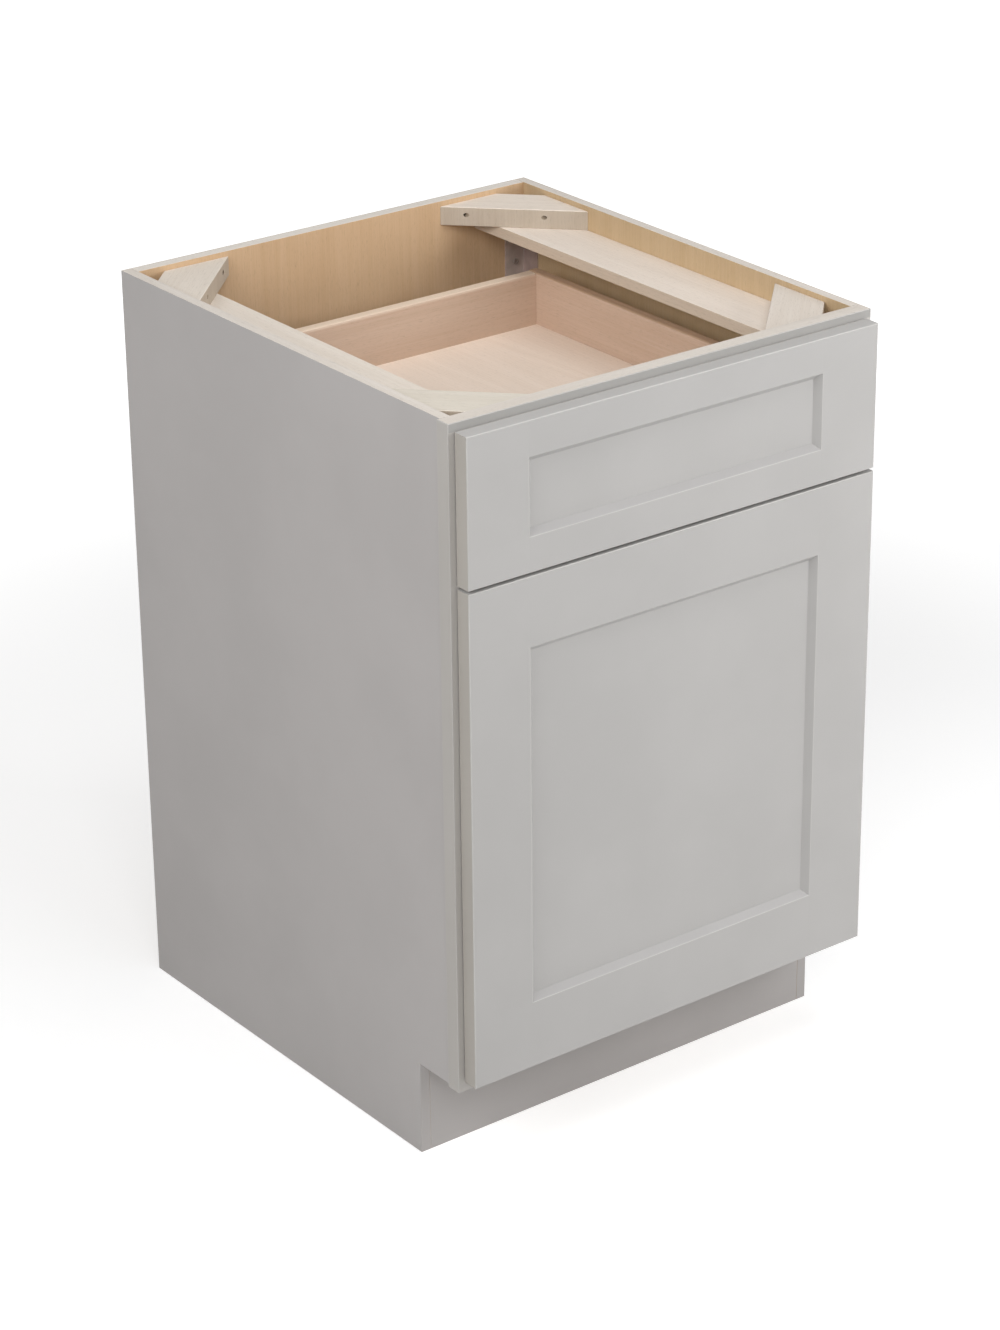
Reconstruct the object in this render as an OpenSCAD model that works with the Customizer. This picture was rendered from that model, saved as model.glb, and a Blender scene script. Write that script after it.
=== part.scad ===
// Base cabinet with one drawer over a pull-out carrier for two waste bins.
// The fronts face -Y, +Z is up, and the origin is on the floor at the centre of the closed cabinet.

/* [Cabinet box] */
// Width over the face frame
cabinet_w = 564; // [540:1:640]
// Height from the floor to the top edges of the panels
cabinet_h = 876.3; // [860:0.1:920]
// Depth from the front of the face frame to the back
cabinet_d = 609.6; // [548:0.1:680]
// Distance that the left side panel is set in from the edge of the face frame
left_set_in = 4; // [0:0.5:8]
// Thickness of the side panels
side_t = 12.7; // [12:0.1:19]
// Thickness of the back panel
back_t = 15.9; // [12:0.1:18]
// Thickness of the floor panel
floor_t = 12.7; // [9:0.1:19]
// Depth of the groove in each side panel that holds the floor panel
dado_d = 5; // [2:0.5:8]
// Height of the toe space
toe_h = 112; // [95:1:120]
// Depth of the toe space behind the front of the face frame
toe_d = 76.2; // [50:0.1:100]
// Thickness of the toe kick board
toe_board_t = 12.7; // [9:0.1:19]

/* [Face frame] */
// Thickness of the face frame
frame_t = 19.05; // [16:0.05:24]
// Width of the two frame stiles
stile_w = 38.1; // [36:0.1:45]
// Height of the top rail
top_rail_h = 38.1; // [34:0.1:45]
// Height of the rail between the drawer and the door
mid_rail_h = 38.1; // [30:0.1:50]
// Height of the bottom rail
bottom_rail_h = 38.1; // [25:0.1:45]
// Height of the drawer opening between the rails
drawer_opening_h = 133.35; // [125:0.05:140]

/* [Corner braces and top boards] */
// Length of a brace along each panel that it touches
brace_leg = 123; // [100:1:140]
// Length of the back left brace along each panel that it touches
back_left_leg = 118; // [100:1:140]
// Length that is cut off the brace's corner
brace_cut = 41; // [20:1:55]
// Length that is cut off the back left brace's corner
back_left_cut = 33; // [20:1:55]
// Thickness of a brace
brace_t = 22.8; // [18:0.1:26]
// Distance of the braces below the top edges
brace_drop = 6; // [2:0.5:8]
// Distance of the screw into the back panel or face frame from the end of the long edge there
brace_screw_cross = 22; // [20:0.5:40]
// Distance of the screw into the side panel from the end of the long edge there
brace_screw_side = 36.5; // [24:0.5:40]
// Distance of the brace screws below the tops of the braces
brace_screw_down = 9.3; // [8:0.1:14]
// Diameter of the brace screws' heads
brace_head_d = 4.8; // [4.6:0.1:6.4]
// Depth of each brace screw's head below the long edge
brace_screw_sink = 6; // [5:0.5:9]
// Width of the flat boards under the braces
board_w = 73; // [60:1:85]
// Thickness of the flat boards under the braces
board_t = 13.4; // [9:0.1:14]

/* [Drawer front and door] */
// Thickness of the stiles and rails of both fronts
front_t = 19; // [18:0.5:22]
// Gap between the fronts and the face frame, which the bumpers fill
front_gap = 1.5; // [1:0.1:3]
// Distance of both fronts from the sides of the cabinet
side_reveal = 7.5; // [2:0.5:10]
// Distance of the drawer front below the top of the cabinet
top_reveal = 9.6; // [3:0.1:15]
// Height of the drawer front
drawer_front_h = 165.4; // [162:0.1:175]
// Height of the gap between the drawer front and the door
front_split = 3.6; // [2:0.1:6]
// Height of the door's lower edge above the toe space
door_reveal = 12; // [4:0.5:20]
// Width of the stiles of both fronts
front_stile_w = 77.5; // [74:0.1:90]
// Height of the drawer front's rails
drawer_rail_h = 39.3; // [30:0.1:50]
// Height of the door's rails
door_rail_h = 78.8; // [60:0.1:90]
// Depth of the panels below the face of the fronts
recess_d = 7.5; // [6:0.5:9.5]
// Width of the bevel round each panel
bevel_w = 7; // [2:0.5:8]
// Thickness of the panels
panel_t = 6; // [4:0.5:7]
// Depth of the grooves that hold the panels and the rails' tongues
groove_d = 9; // [5:0.5:12]
// Room for a panel to move in its grooves
panel_play = 0.5; // [0.2:0.1:1]
// Radius of the round outer edges of the fronts
edge_r = 1; // [0.5:0.5:4]
// Diameter of a bumper
bumper_d = 9; // [6:0.5:12]
// Distance of the bumpers from the ends of the fronts
bumper_inset = 14; // [10:1:25]

/* [Drawer box] */
// Distance of the drawer box's back from the rear ends of its slides
drawer_tail = 25.55; // [24:0.05:60]
// Height of the drawer box
drawer_h = 83.7; // [70:0.1:100]
// Thickness of the drawer box's walls
drawer_wall = 15.9; // [12:0.1:18]
// Gap between the drawer box and the frame opening on each side
drawer_side_gap = 4.8; // [3:0.1:8]
// Height of the drawer box's lower edges above the middle rail
drawer_lift = 5.95; // [5:0.05:8]
// Thickness of the drawer's bottom panel
drawer_bottom_t = 6; // [5:0.5:9]
// Height of the bottom panel above the lower edges of the box
drawer_bottom_up = 15; // [12:0.1:16]
// Depth of the grooves that hold the bottom panel
drawer_groove_d = 7; // [4:0.5:9]
// Thickness of the tongues on the ends of the box's front and back
tongue_t = 6; // [4:0.5:8]
// Length of these tongues
tongue_d = 6; // [4:0.5:8]
// Height of solid wood above each tongue
tongue_stop = 10; // [6:1:16]

/* [Drawer slides] */
// Thickness of the slides' sheet steel
slide_sheet = 1.5; // [1:0.1:2]
// Width of a drawer slide
runner_w = 24; // [20:0.5:30]
// Height of the runner under the drawer bottom
runner_h = 9.5; // [8:0.5:11]
// Distance of the drawer slides' rear ends from the back panel
drawer_slide_gap = 41.65; // [36:0.05:60]
// Gap between the sliding members
slide_play = 0.6; // [0.4:0.1:0.9]
// Height of the middle member above the middle rail
slide_over_rail = 1.2; // [0.8:0.1:2]
// Width of the web of the middle member
slide_web = 8; // [6:0.5:10]
// Height of the slide's foot on the middle rail
foot_h = 24; // [18:1:30]
// Depth of the notch clearance beside the slides in the drawer back
notch_play = 3; // [1:0.5:5]
// Gap round each slide roller
roller_play = 0.35; // [0.3:0.05:0.6]
// Width of the rear bracket on the back panel
bracket_w = 29; // [22:1:40]
// Depth of the rear bracket along the side panel
bracket_d = 28; // [25:1:50]
// Height of the rear bracket above the slide's bottom
bracket_h = 122; // [90:1:125]
// Thickness of the rear bracket
bracket_t = 2; // [1.5:0.1:3]
// Length of the socket that holds the slide's rear end
socket_len = 20; // [10:1:22]
// Height of the lower bracket screw above the slide's bottom
bracket_screw_low = 22; // [12:1:30]
// Height of the upper bracket screw above the slide's bottom
bracket_screw_high = 78; // [60:1:86]

/* [Front catches] */
// Length of a catch along the drawer
catch_len = 58; // [50:1:80]
// Width of a catch beside its slide
catch_w = 34; // [30:1:45]
// Height of a catch
catch_h = 12; // [9:0.5:14]
// Thickness of the catch's base plate
catch_plate_t = 2; // [1.5:0.5:3]
// Width of the catch's block beside the slide
catch_block_w = 17; // [12:0.5:19]
// Diameter of the post that a release lever turns on
post_d = 4; // [3:0.1:5]
// Thickness of a release lever
lever_t = 3.5; // [2.5:0.5:5]
// Thickness of the cap that keeps the lever on its post
post_cap_t = 1; // [0.8:0.1:1.5]
// Depth of the catch screws in the drawer bottom
catch_bite = 4; // [3:0.5:4]
// Radial clearance of the lever on its post
post_fit = 0.06; // [0.03:0.01:0.1]

/* [Bin slides] */
// Thickness of a bin slide across its members
bin_slide_t = 12.7; // [12.7:0.1:14]
// Height of a bin slide
bin_slide_h = 45; // [42:0.5:50]
// Distance of the bin slides' rear ends from the rear of the carrier
bin_slide_short = 1.5; // [1:0.5:60]
// Diameter of the slide balls
ball_d = 3; // [2.5:0.1:3.2]
// Gap between a ball and each track
ball_play = 0.3; // [0.2:0.05:0.4]
// Distance of the slides behind the front of the face frame
bin_slide_set = 4; // [2:0.5:10]
// Difference in length between a slide and its middle member
bin_middle_short = 18; // [10:1:40]
// Number of balls in each row
balls_each = 6; // [3:1:7]
// Distance between the balls in a row
ball_step = 30; // [10:1:33]
// Distance of the slide screws from the ends of the slides
bin_screw_end = 40; // [20:1:60]
// Distance of the cleat screws from the ends of the slides
cleat_screw_end = 100; // [80:1:140]
// Height of the cleats that carry the slides
cleat_h = 75; // [70:1:90]
// Distance of the cleats' rear ends from the back panel
cleat_gap = 54.65; // [30:0.05:70]

/* [Bin carrier] */
// Distance of the carrier from the back panel
carrier_gap = 80.2; // [60:0.1:110]
// Height of the carrier's walls
carrier_h = 110; // [102:1:130]
// Thickness of the carrier's walls
carrier_t = 15; // [12:0.5:19]
// Thickness of the carrier's bottom
carrier_bottom_t = 12; // [9:0.5:18]
// Gap between the carrier and the cabinet floor
carrier_lift = 4; // [2:0.5:8]
// Height of the bin slides' middle above the carrier's lower edge
bin_slide_up = 32; // [28:0.5:36]
// Height of a door bracket above the carrier's top
door_bracket_h = 165; // [120:1:200]
// Depth of a door bracket at its foot
door_bracket_d = 60; // [50:1:90]
// Depth of a door bracket at its top
door_bracket_top_d = 25; // [15:1:40]
// Width of a door bracket's flange on the door
door_bracket_w = 25; // [20:1:27]
// Thickness of a door bracket
door_bracket_t = 2; // [1.5:0.1:3]
// Height of a door bracket's foot inside the carrier
door_bracket_foot = 90; // [60:1:92]
// Gap between the door brackets and the top of the carrier's front
door_bracket_gap = 2; // [1:0.5:4]
// Distance of the door screws from the carrier's inner faces
door_screw_in = 8; // [6:0.5:9]
// Depth of the foot screws below the top of the carrier
foot_screw_down = 24; // [12:1:40]
// Depth of the carrier's corner screws below its top
corner_screw_down = 14; // [10:1:20]
// Distance between the corner screws of each corner
corner_screw_step = 32; // [20:1:34]

/* [Bins] */
// Width of a bin over its rim
bin_w = 370; // [300:1:374]
// Gap before, between and behind the bins in the carrier
bin_gap = 4; // [2:0.5:20]
// Height of a bin
bin_h = 440; // [380:1:445]
// Wall thickness of a bin
bin_wall = 2.5; // [2:0.1:4]
// Width of the rim round a bin
bin_rim_w = 9; // [6:0.5:14]
// Height of the rim round a bin
bin_rim_h = 14; // [8:0.5:25]
// Amount that a bin narrows on each side towards its base
bin_taper = 18; // [8:1:25]
// Corner radius of a bin at its rim
bin_corner_r = 38; // [20:1:50]

/* [Screws] */
// Diameter of the screws
screw_d = 3.8; // [3:0.1:4.5]
// Diameter of a countersunk head
screw_head_d = 6.4; // [5.5:0.1:8]
// Height of a countersunk head
screw_head_h = 2.4; // [2:0.1:3]
// Diameter of a pan head
pan_d = 7.6; // [6:0.1:9]
// Height of a pan head
pan_h = 1.6; // [1.2:0.1:2]
// Depth of the screws in the panels and rails
screw_bite = 9; // [6:0.5:10]
// Radial clearance of the screws in their holes
screw_fit = 0.05; // [0.02:0.01:0.1]

/* [Hidden] */
$fn = 32;

// Small overshoot of the cutting shapes past the faces that they cut
over = 1;
both = [-1, 1];

// Planes of the cabinet along Y, from the front to the back
front_y = -(cabinet_d + front_gap + front_t) / 2;
fronts_back_y = front_y + front_t;
frame_y = fronts_back_y + front_gap;
frame_back_y = frame_y + frame_t;
toe_y = frame_y + toe_d;
back_y = frame_y + cabinet_d;
back_in_y = back_y - back_t;

// Half widths of the cabinet
half_w = cabinet_w / 2;
opening_x = half_w - stile_w;

// Outer and inner face of a side panel, as distances from the middle of the cabinet
function side_x(side) = half_w - (side < 0 ? left_set_in : 0);
function side_in_x(side) = side_x(side) - side_t;

// Heights of the cabinet
floor_z = toe_h + bottom_rail_h;
mid_top_z = cabinet_h - top_rail_h - drawer_opening_h;
mid_bottom_z = mid_top_z - mid_rail_h;
brace_z = cabinet_h - brace_drop - brace_t;
brace_screw_z = cabinet_h - brace_drop - brace_screw_down;
board_z = brace_z - board_t;

// Outlines of the two fronts
front_x = half_w - side_reveal;
front_in_x = front_x - front_stile_w;
drawer_front_z = cabinet_h - top_reveal - drawer_front_h;
door_z = toe_h + door_reveal;
door_h = drawer_front_z - front_split - door_z;
panel_y = front_y + recess_d;
bumper_x = (opening_x + front_x) / 2;

// Drawer box
drawer_x = opening_x - drawer_side_gap;
drawer_in_x = drawer_x - drawer_wall;
drawer_z = mid_top_z + drawer_lift;
drawer_bottom_z = drawer_z + drawer_bottom_up;
slide_end_y = back_in_y - drawer_slide_gap;
drawer_end_y = slide_end_y - drawer_tail;
drawer_front_in_y = fronts_back_y + drawer_wall;
drawer_back_in_y = drawer_end_y - drawer_wall;
drawer_top_z = drawer_z + drawer_h;

// Drawer slides, right-hand side
runner_x1 = drawer_in_x - slide_play;
runner_x0 = runner_x1 - runner_w;
slide_mid_x = (runner_x0 + runner_x1) / 2;
middle_z0 = mid_top_z + slide_over_rail;
middle_z1 = drawer_bottom_z - slide_sheet - slide_play;
base_z = middle_z0 - slide_play - slide_sheet;
base_wall_z = drawer_bottom_z - runner_h - slide_play;
middle_w = runner_w - 2 * slide_sheet - 2 * slide_play;
middle_y = frame_back_y + slide_sheet + slide_play;
middle_end_y = drawer_back_in_y;
roller_room = runner_w / 2 - slide_sheet - slide_web / 2;
roller_x = (slide_web + roller_room) / 2;
roller_d = roller_room - 2 * roller_play;
roller_pitch = (middle_end_y - middle_y) / 8;
socket_y = slide_end_y - socket_len;
foot_screw_z = mid_top_z - foot_h / 2;

// Catches, right-hand side
catch_x1 = runner_x0;
catch_x0 = catch_x1 - catch_w;
catch_y = drawer_front_in_y;
post_x = catch_x0 + post_d;
post_y = catch_y + catch_len - post_d - lever_t;
lever_z = drawer_bottom_z - catch_plate_t - slide_play;
lever_h = catch_h - catch_plate_t - post_cap_t - 2 * slide_play;

// Thickness of the cleat beside a side panel
function cleat_t(side) = side_in_x(side) - opening_x;

// Bin slides, right-hand side: distances are counted from the cleat towards the carrier
carrier_x = opening_x - bin_slide_t;
carrier_in_x = carrier_x - carrier_t;
carrier_z = floor_z + carrier_lift;
bin_slide_z = carrier_z + bin_slide_up;
track = ball_d + 2 * ball_play;
bin_base_in = bin_slide_h / 2 - slide_sheet;
bin_middle_out = bin_base_in - track;
bin_middle_in = bin_middle_out - slide_sheet;
bin_runner_out = bin_middle_in - track;
bin_web_gap = pan_h + 2 * slide_play;
bin_middle_s = slide_sheet + bin_web_gap;
bin_runner_s = bin_slide_t - slide_sheet;
bin_slide_y = frame_y + bin_slide_set;
carrier_end_y = back_in_y - carrier_gap;
bin_slide_end_y = carrier_end_y - bin_slide_short;
cleat_end_y = back_in_y - cleat_gap;
bin_middle_end_y = bin_slide_end_y - bin_middle_short;
bin_screw_ys = [
    bin_slide_y + bin_screw_end, (bin_slide_y + bin_slide_end_y) / 2, bin_slide_end_y - bin_screw_end
];
cleat_screw_ys = [bin_slide_y + cleat_screw_end, bin_slide_end_y - cleat_screw_end];
cleat_screw_z = floor_z + cleat_h - screw_head_d;

// Carrier and bins
carrier_front_in_y = fronts_back_y + carrier_t;
carrier_back_in_y = carrier_end_y - carrier_t;
bin_z = carrier_z + carrier_bottom_t;
bin_l = (carrier_back_in_y - carrier_front_in_y - 3 * bin_gap) / 2;
front_bin_y = carrier_front_in_y + bin_gap + bin_l / 2;
rear_bin_y = carrier_back_in_y - bin_gap - bin_l / 2;
bracket_foot_z = carrier_z + carrier_h - door_bracket_foot;
carrier_top_z = carrier_z + carrier_h;
door_bracket_z = carrier_top_z + door_bracket_gap;
door_bracket_top = carrier_top_z + door_bracket_h;

// Colours
paint = [0.72, 0.71, 0.69];
pale_wood = [0.85, 0.79, 0.70];
tan_wood = [0.72, 0.60, 0.44];
pink_wood = [0.76, 0.63, 0.54];
light_wood = [0.86, 0.77, 0.68];
steel = [0.62, 0.63, 0.64];
dark_steel = [0.40, 0.38, 0.36];
grey_plastic = [0.45, 0.46, 0.47];
bin_grey = [0.33, 0.34, 0.35];
clear_rubber = [0.86, 0.86, 0.84];

// Shared shapes

// Mirrors a right-hand shape to the left where side is -1
module hand(side) {
    mirror([side < 0 ? 1 : 0, 0, 0]) children();
}

// Box between two corners
module span(low, high) {
    translate(low) cube([high[0] - low[0], high[1] - low[1], high[2] - low[2]]);
}

// Extrudes a shape drawn in the YZ plane from x0 to x1
module along_x(x0, x1) {
    translate([x0, 0, 0]) rotate([90, 0, 90]) linear_extrude(x1 - x0) children();
}

// Extrudes a shape drawn in the XZ plane from y0 to y1
module along_y(y0, y1) {
    translate([0, y1, 0]) rotate([90, 0, 0]) linear_extrude(y1 - y0) children();
}

// Cross recess of a driver at z = 0
module drive_recess(size) {
    for (turn = [0, 90])
        rotate([0, 0, turn]) translate([-size / 2, -size / 8, -size / 4]) cube([size, size / 4, size]);
}

// Countersunk screw with its head's face at z = 0 and its point towards -Z
module countersunk_screw(length, head_d = screw_head_d) {
    difference() {
        union() {
            translate([0, 0, -length]) cylinder(h = length, d = screw_d);
            translate([0, 0, -screw_head_h]) cylinder(h = screw_head_h, d1 = screw_d, d2 = head_d);
        }
        drive_recess(head_d / 2);
    }
}

// Hole for a countersunk screw, open above its head for the given depth
module countersunk_hole(length, access, head_d = screw_head_d) {
    translate([0, 0, -length]) cylinder(h = length, d = screw_d + 2 * screw_fit);
    translate([0, 0, -screw_head_h])
        cylinder(h = screw_head_h, d1 = screw_d + 2 * screw_fit, d2 = head_d + 2 * screw_fit);
    cylinder(h = access, d = head_d + 2 * screw_fit);
}

// Pan head screw whose head sits on z = 0, with its point towards -Z
module pan_screw(length) {
    difference() {
        union() {
            translate([0, 0, -length]) cylinder(h = length, d = screw_d);
            cylinder(h = pan_h, d = pan_d);
        }
        translate([0, 0, pan_h]) drive_recess(pan_d / 2);
    }
}

// Hole for the shank of a pan head screw
module shank_hole(length) {
    translate([0, 0, -length]) cylinder(h = length + over, d = screw_d + 2 * screw_fit);
}

// Turns a screw so that its point looks along the named direction
module points_to(direction) {
    rotate(
        direction == "+z" ? [180, 0, 0] :
        direction == "-y" ? [-90, 0, 0] :
        direction == "+y" ? [90, 0, 0] :
        direction == "-x" ? [0, 90, 0] : [0, -90, 0]
    ) children();
}

// Cabinet panels

// Moves to the corner of the cabinet that a brace fills, with local X and Y pointing inwards
module brace_corner(sx, sy) {
    translate([sx * side_in_x(sx), sy > 0 ? back_in_y : frame_back_y, 0])
        mirror([sx > 0 ? 1 : 0, 0, 0]) mirror([0, sy > 0 ? 1 : 0, 0]) children();
}

// Sizes of the brace in a corner
function leg_of(sx, sy) = sx < 0 && sy > 0 ? back_left_leg : brace_leg;
function cut_of(sx, sy) = sx < 0 && sy > 0 ? back_left_cut : brace_cut;

// Length of a brace screw whose head is at a distance from the end of the long edge
function brace_screw_len(inset) = inset - brace_screw_sink + screw_bite;

// Places the screw through a brace into the back panel or face frame
module cross_screw_place(sx, sy) {
    x = leg_of(sx, sy) - brace_screw_cross;
    brace_corner(sx, sy)
        translate([x, brace_screw_cross - brace_screw_sink, brace_screw_z]) points_to("-y") children();
}

// Places the screw through a brace into the side panel
module side_screw_place(sx, sy) {
    y = leg_of(sx, sy) - brace_screw_side;
    brace_corner(sx, sy)
        translate([brace_screw_side - brace_screw_sink, y, brace_screw_z]) points_to("-x") children();
}

module brace_hole(inset) {
    countersunk_hole(brace_screw_len(inset), brace_screw_sink + brace_head_d, brace_head_d);
}

module brace_holes(sx, sy) {
    cross_screw_place(sx, sy) brace_hole(brace_screw_cross);
    side_screw_place(sx, sy) brace_hole(brace_screw_side);
}

// Places of the screws that hold a cleat to a side panel, right-hand side
module cleat_screw_places() {
    for (y = cleat_screw_ys)
        translate([opening_x, y, cleat_screw_z]) points_to("+x") children();
}

module side_panel(side) {
    color(paint)
    difference() {
        hand(side) difference() {
            span([side_in_x(side), frame_back_y, 0], [side_x(side), back_y, cabinet_h]);
            span([side_in_x(side) - over, frame_back_y - over, -over], [half_w + over, toe_y, toe_h]);
            span(
                [side_in_x(side) - over, frame_back_y - over, floor_z - floor_t],
                [side_in_x(side) + dado_d, back_in_y, floor_z]
            );
            cleat_screw_places() shank_hole(cleat_t(side) + screw_bite);
        }
        for (sy = both) brace_holes(side, sy);
    }
}

module left_side_panel() side_panel(-1);
module right_side_panel() side_panel(1);

module back_panel() {
    color(tan_wood)
    difference() {
        span([-side_in_x(-1), back_in_y, 0], [side_in_x(1), back_y, cabinet_h]);
        for (sx = both) brace_holes(sx, 1);
        for (sx = both) hand(sx) rear_screw_places(sx) shank_hole(bracket_t + screw_bite);
    }
}

module floor_panel() {
    color(tan_wood)
    span(
        [-side_in_x(-1) - dado_d, frame_back_y, floor_z - floor_t],
        [side_in_x(1) + dado_d, back_in_y, floor_z]
    );
}

module toe_kick_board() {
    color(paint)
    span([-side_in_x(-1), toe_y, 0], [side_in_x(1), toe_y + toe_board_t, floor_z - floor_t]);
}

// Face frame

module frame_stile(side) {
    color(paint) hand(side) span([opening_x, frame_y, toe_h], [half_w, frame_back_y, cabinet_h]);
}

module frame_left_stile() frame_stile(-1);
module frame_right_stile() frame_stile(1);

module frame_rail(z, h) {
    span([-opening_x, frame_y, z], [opening_x, frame_back_y, z + h]);
}

module frame_top_rail() {
    color(paint)
    difference() {
        frame_rail(cabinet_h - top_rail_h, top_rail_h);
        for (sx = both) brace_holes(sx, -1);
    }
}

module frame_middle_rail() {
    color(paint)
    difference() {
        frame_rail(mid_bottom_z, mid_rail_h);
        for (side = both) hand(side) foot_screw_place() shank_hole(slide_sheet + screw_bite);
    }
}

module frame_bottom_rail() {
    color(paint) frame_rail(toe_h, bottom_rail_h);
}

// Corner braces and the flat boards under them

module brace(sx, sy) {
    leg = leg_of(sx, sy);
    cut = cut_of(sx, sy);
    color(pale_wood)
    difference() {
        brace_corner(sx, sy) translate([0, 0, brace_z]) linear_extrude(brace_t)
            polygon([[cut, 0], [leg, 0], [0, leg], [0, cut]]);
        brace_holes(sx, sy);
    }
}

module front_left_brace() brace(-1, -1);
module front_right_brace() brace(1, -1);
module back_left_brace() brace(-1, 1);
module back_right_brace() brace(1, 1);

module brace_screws() {
    color(dark_steel)
    for (sx = both) for (sy = both) {
        cross_screw_place(sx, sy) countersunk_screw(brace_screw_len(brace_screw_cross), brace_head_d);
        side_screw_place(sx, sy) countersunk_screw(brace_screw_len(brace_screw_side), brace_head_d);
    }
}

module top_board(side) {
    color(pale_wood) hand(side)
        span(
            [side_in_x(side) - board_w, frame_back_y, board_z],
            [side_in_x(side), back_in_y, brace_z]
        );
}

module left_top_board() top_board(-1);
module right_top_board() top_board(1);

// Drawer slides: a fixed base, a middle member and a runner under the drawer

// Place of the screw through a slide's foot, right-hand side
module foot_screw_place() {
    translate([slide_mid_x, frame_back_y + slide_sheet, foot_screw_z]) points_to("-y") children();
}

// Places of the screws through a rear bracket, drawn for the right and at the side's own distance
module rear_screw_places(side) {
    for (up = [bracket_screw_low, bracket_screw_high])
        translate([side_in_x(side) - bracket_w / 2, back_in_y - bracket_t, base_z + up])
            points_to("+y") children();
}

module drawer_slide_base() {
    difference() {
        union() {
            along_y(frame_back_y, slide_end_y) difference() {
                translate([runner_x0, base_z]) square([runner_w, base_wall_z - base_z]);
                translate([runner_x0 + slide_sheet, base_z + slide_sheet])
                    square([runner_w - 2 * slide_sheet, runner_h + drawer_bottom_up]);
            }
            span(
                [runner_x0, frame_back_y, mid_top_z - foot_h],
                [runner_x1, frame_back_y + slide_sheet, base_z + slide_sheet]
            );
        }
        foot_screw_place() shank_hole(slide_sheet + over);
    }
}

module drawer_slide_bases() {
    color(steel) for (side = both) hand(side) drawer_slide_base();
}

module rear_brackets() {
    color(dark_steel)
    for (side = both) hand(side) difference() {
        union() {
            span(
                [side_in_x(side) - bracket_w, back_in_y - bracket_t, base_z - bracket_t],
                [side_in_x(side), back_in_y, base_z + bracket_h]
            );
            span(
                [side_in_x(side) - bracket_t, back_in_y - bracket_d, base_z - bracket_t],
                [side_in_x(side), back_in_y, base_z + bracket_h]
            );
            span(
                [runner_x0 - screw_fit - bracket_t, socket_y, base_z - bracket_t],
                [runner_x1 + screw_fit + bracket_t, back_in_y, base_z]
            );
            span(
                [runner_x1, slide_end_y, base_z - bracket_t],
                [side_in_x(side), back_in_y, base_z]
            );
            for (x = [runner_x0 - screw_fit - bracket_t, runner_x1 + screw_fit])
                span([x, socket_y, base_z - bracket_t], [x + bracket_t, slide_end_y, base_wall_z]);
        }
        rear_screw_places(side) shank_hole(bracket_t + over);
    }
}

module drawer_slide_screws() {
    color(dark_steel)
    for (side = both) hand(side) {
        foot_screw_place() pan_screw(slide_sheet + screw_bite);
        rear_screw_places(side) pan_screw(bracket_t + screw_bite);
    }
}

module drawer_slide_middle() {
    x0 = slide_mid_x - middle_w / 2;
    along_y(middle_y, middle_end_y) {
        translate([x0, middle_z0]) square([middle_w, slide_sheet]);
        translate([x0, middle_z1 - slide_sheet]) square([middle_w, slide_sheet]);
        translate([slide_mid_x - slide_web / 2, middle_z0]) square([slide_web, middle_z1 - middle_z0]);
    }
}

module drawer_slide_middles() {
    color(steel) for (side = both) hand(side) drawer_slide_middle();
}

// The lower rollers run in the base at the rear, and the upper ones in the runner at the front
module drawer_slide_rollers() {
    low_z = middle_z0 + slide_sheet + roller_play;
    high_z = drawer_bottom_z - runner_h + roller_play;
    color(grey_plastic)
    for (side = both) hand(side) for (edge = both) for (i = [0 : 2]) {
        translate([slide_mid_x + edge * roller_x, middle_end_y - (i + 0.5) * roller_pitch, low_z])
            cylinder(h = base_wall_z - low_z, d = roller_d);
        translate([slide_mid_x + edge * roller_x, middle_y + (i + 0.5) * roller_pitch, high_z])
            cylinder(h = middle_z1 - slide_sheet - roller_play - high_z, d = roller_d);
    }
}

module drawer_slide_runners() {
    color(steel)
    for (side = both) hand(side) along_y(drawer_front_in_y, drawer_end_y) difference() {
        translate([runner_x0, drawer_bottom_z - runner_h]) square([runner_w, runner_h]);
        translate([runner_x0 + slide_sheet, drawer_bottom_z - runner_h - over])
            square([runner_w - 2 * slide_sheet, runner_h + over - slide_sheet]);
    }
}

// Drawer box: the sides run through, and the front and back stand between them

// Tongues of the board whose outer face is at y
module drawer_tongues(y) {
    span(
        [-drawer_in_x - tongue_d, y + (drawer_wall - tongue_t) / 2, drawer_bottom_z + drawer_bottom_t],
        [drawer_in_x + tongue_d, y + (drawer_wall + tongue_t) / 2, drawer_top_z - tongue_stop]
    );
}

module drawer_bottom_groove() {
    reach = drawer_groove_d;
    span(
        [-drawer_in_x - reach, drawer_front_in_y - reach, drawer_bottom_z],
        [drawer_in_x + reach, drawer_back_in_y + reach, drawer_bottom_z + drawer_bottom_t]
    );
}

module drawer_side(side) {
    color(pink_wood)
    difference() {
        hand(side) span([drawer_in_x, fronts_back_y, drawer_z], [drawer_x, drawer_end_y, drawer_top_z]);
        drawer_bottom_groove();
        drawer_tongues(fronts_back_y);
        drawer_tongues(drawer_back_in_y);
    }
}

module drawer_left_side() drawer_side(-1);
module drawer_right_side() drawer_side(1);

// Board between the sides, with its tongues, whose outer face is at y
module drawer_cross_board(y) {
    difference() {
        span([-drawer_in_x, y, drawer_z], [drawer_in_x, y + drawer_wall, drawer_top_z]);
        drawer_bottom_groove();
    }
    drawer_tongues(y);
}

// Countersunk screws from inside the box into the stiles of the drawer front
module drawer_front_screw_places() {
    low = drawer_bottom_z + drawer_bottom_t + screw_head_d * 2;
    high = drawer_top_z - screw_head_d * 2;
    for (side = both) for (z = [low, high])
        translate([side * (front_in_x + drawer_in_x) / 2, drawer_front_in_y, z]) points_to("-y") children();
}

// Screws from below through the blocks of the catches
module catch_screw_places() {
    for (side = both) for (part = [0.25, 0.75])
        translate([
            side * (catch_x1 - catch_block_w / 2), catch_y + part * catch_len,
            drawer_bottom_z - catch_h
        ]) points_to("+z") children();
}

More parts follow.
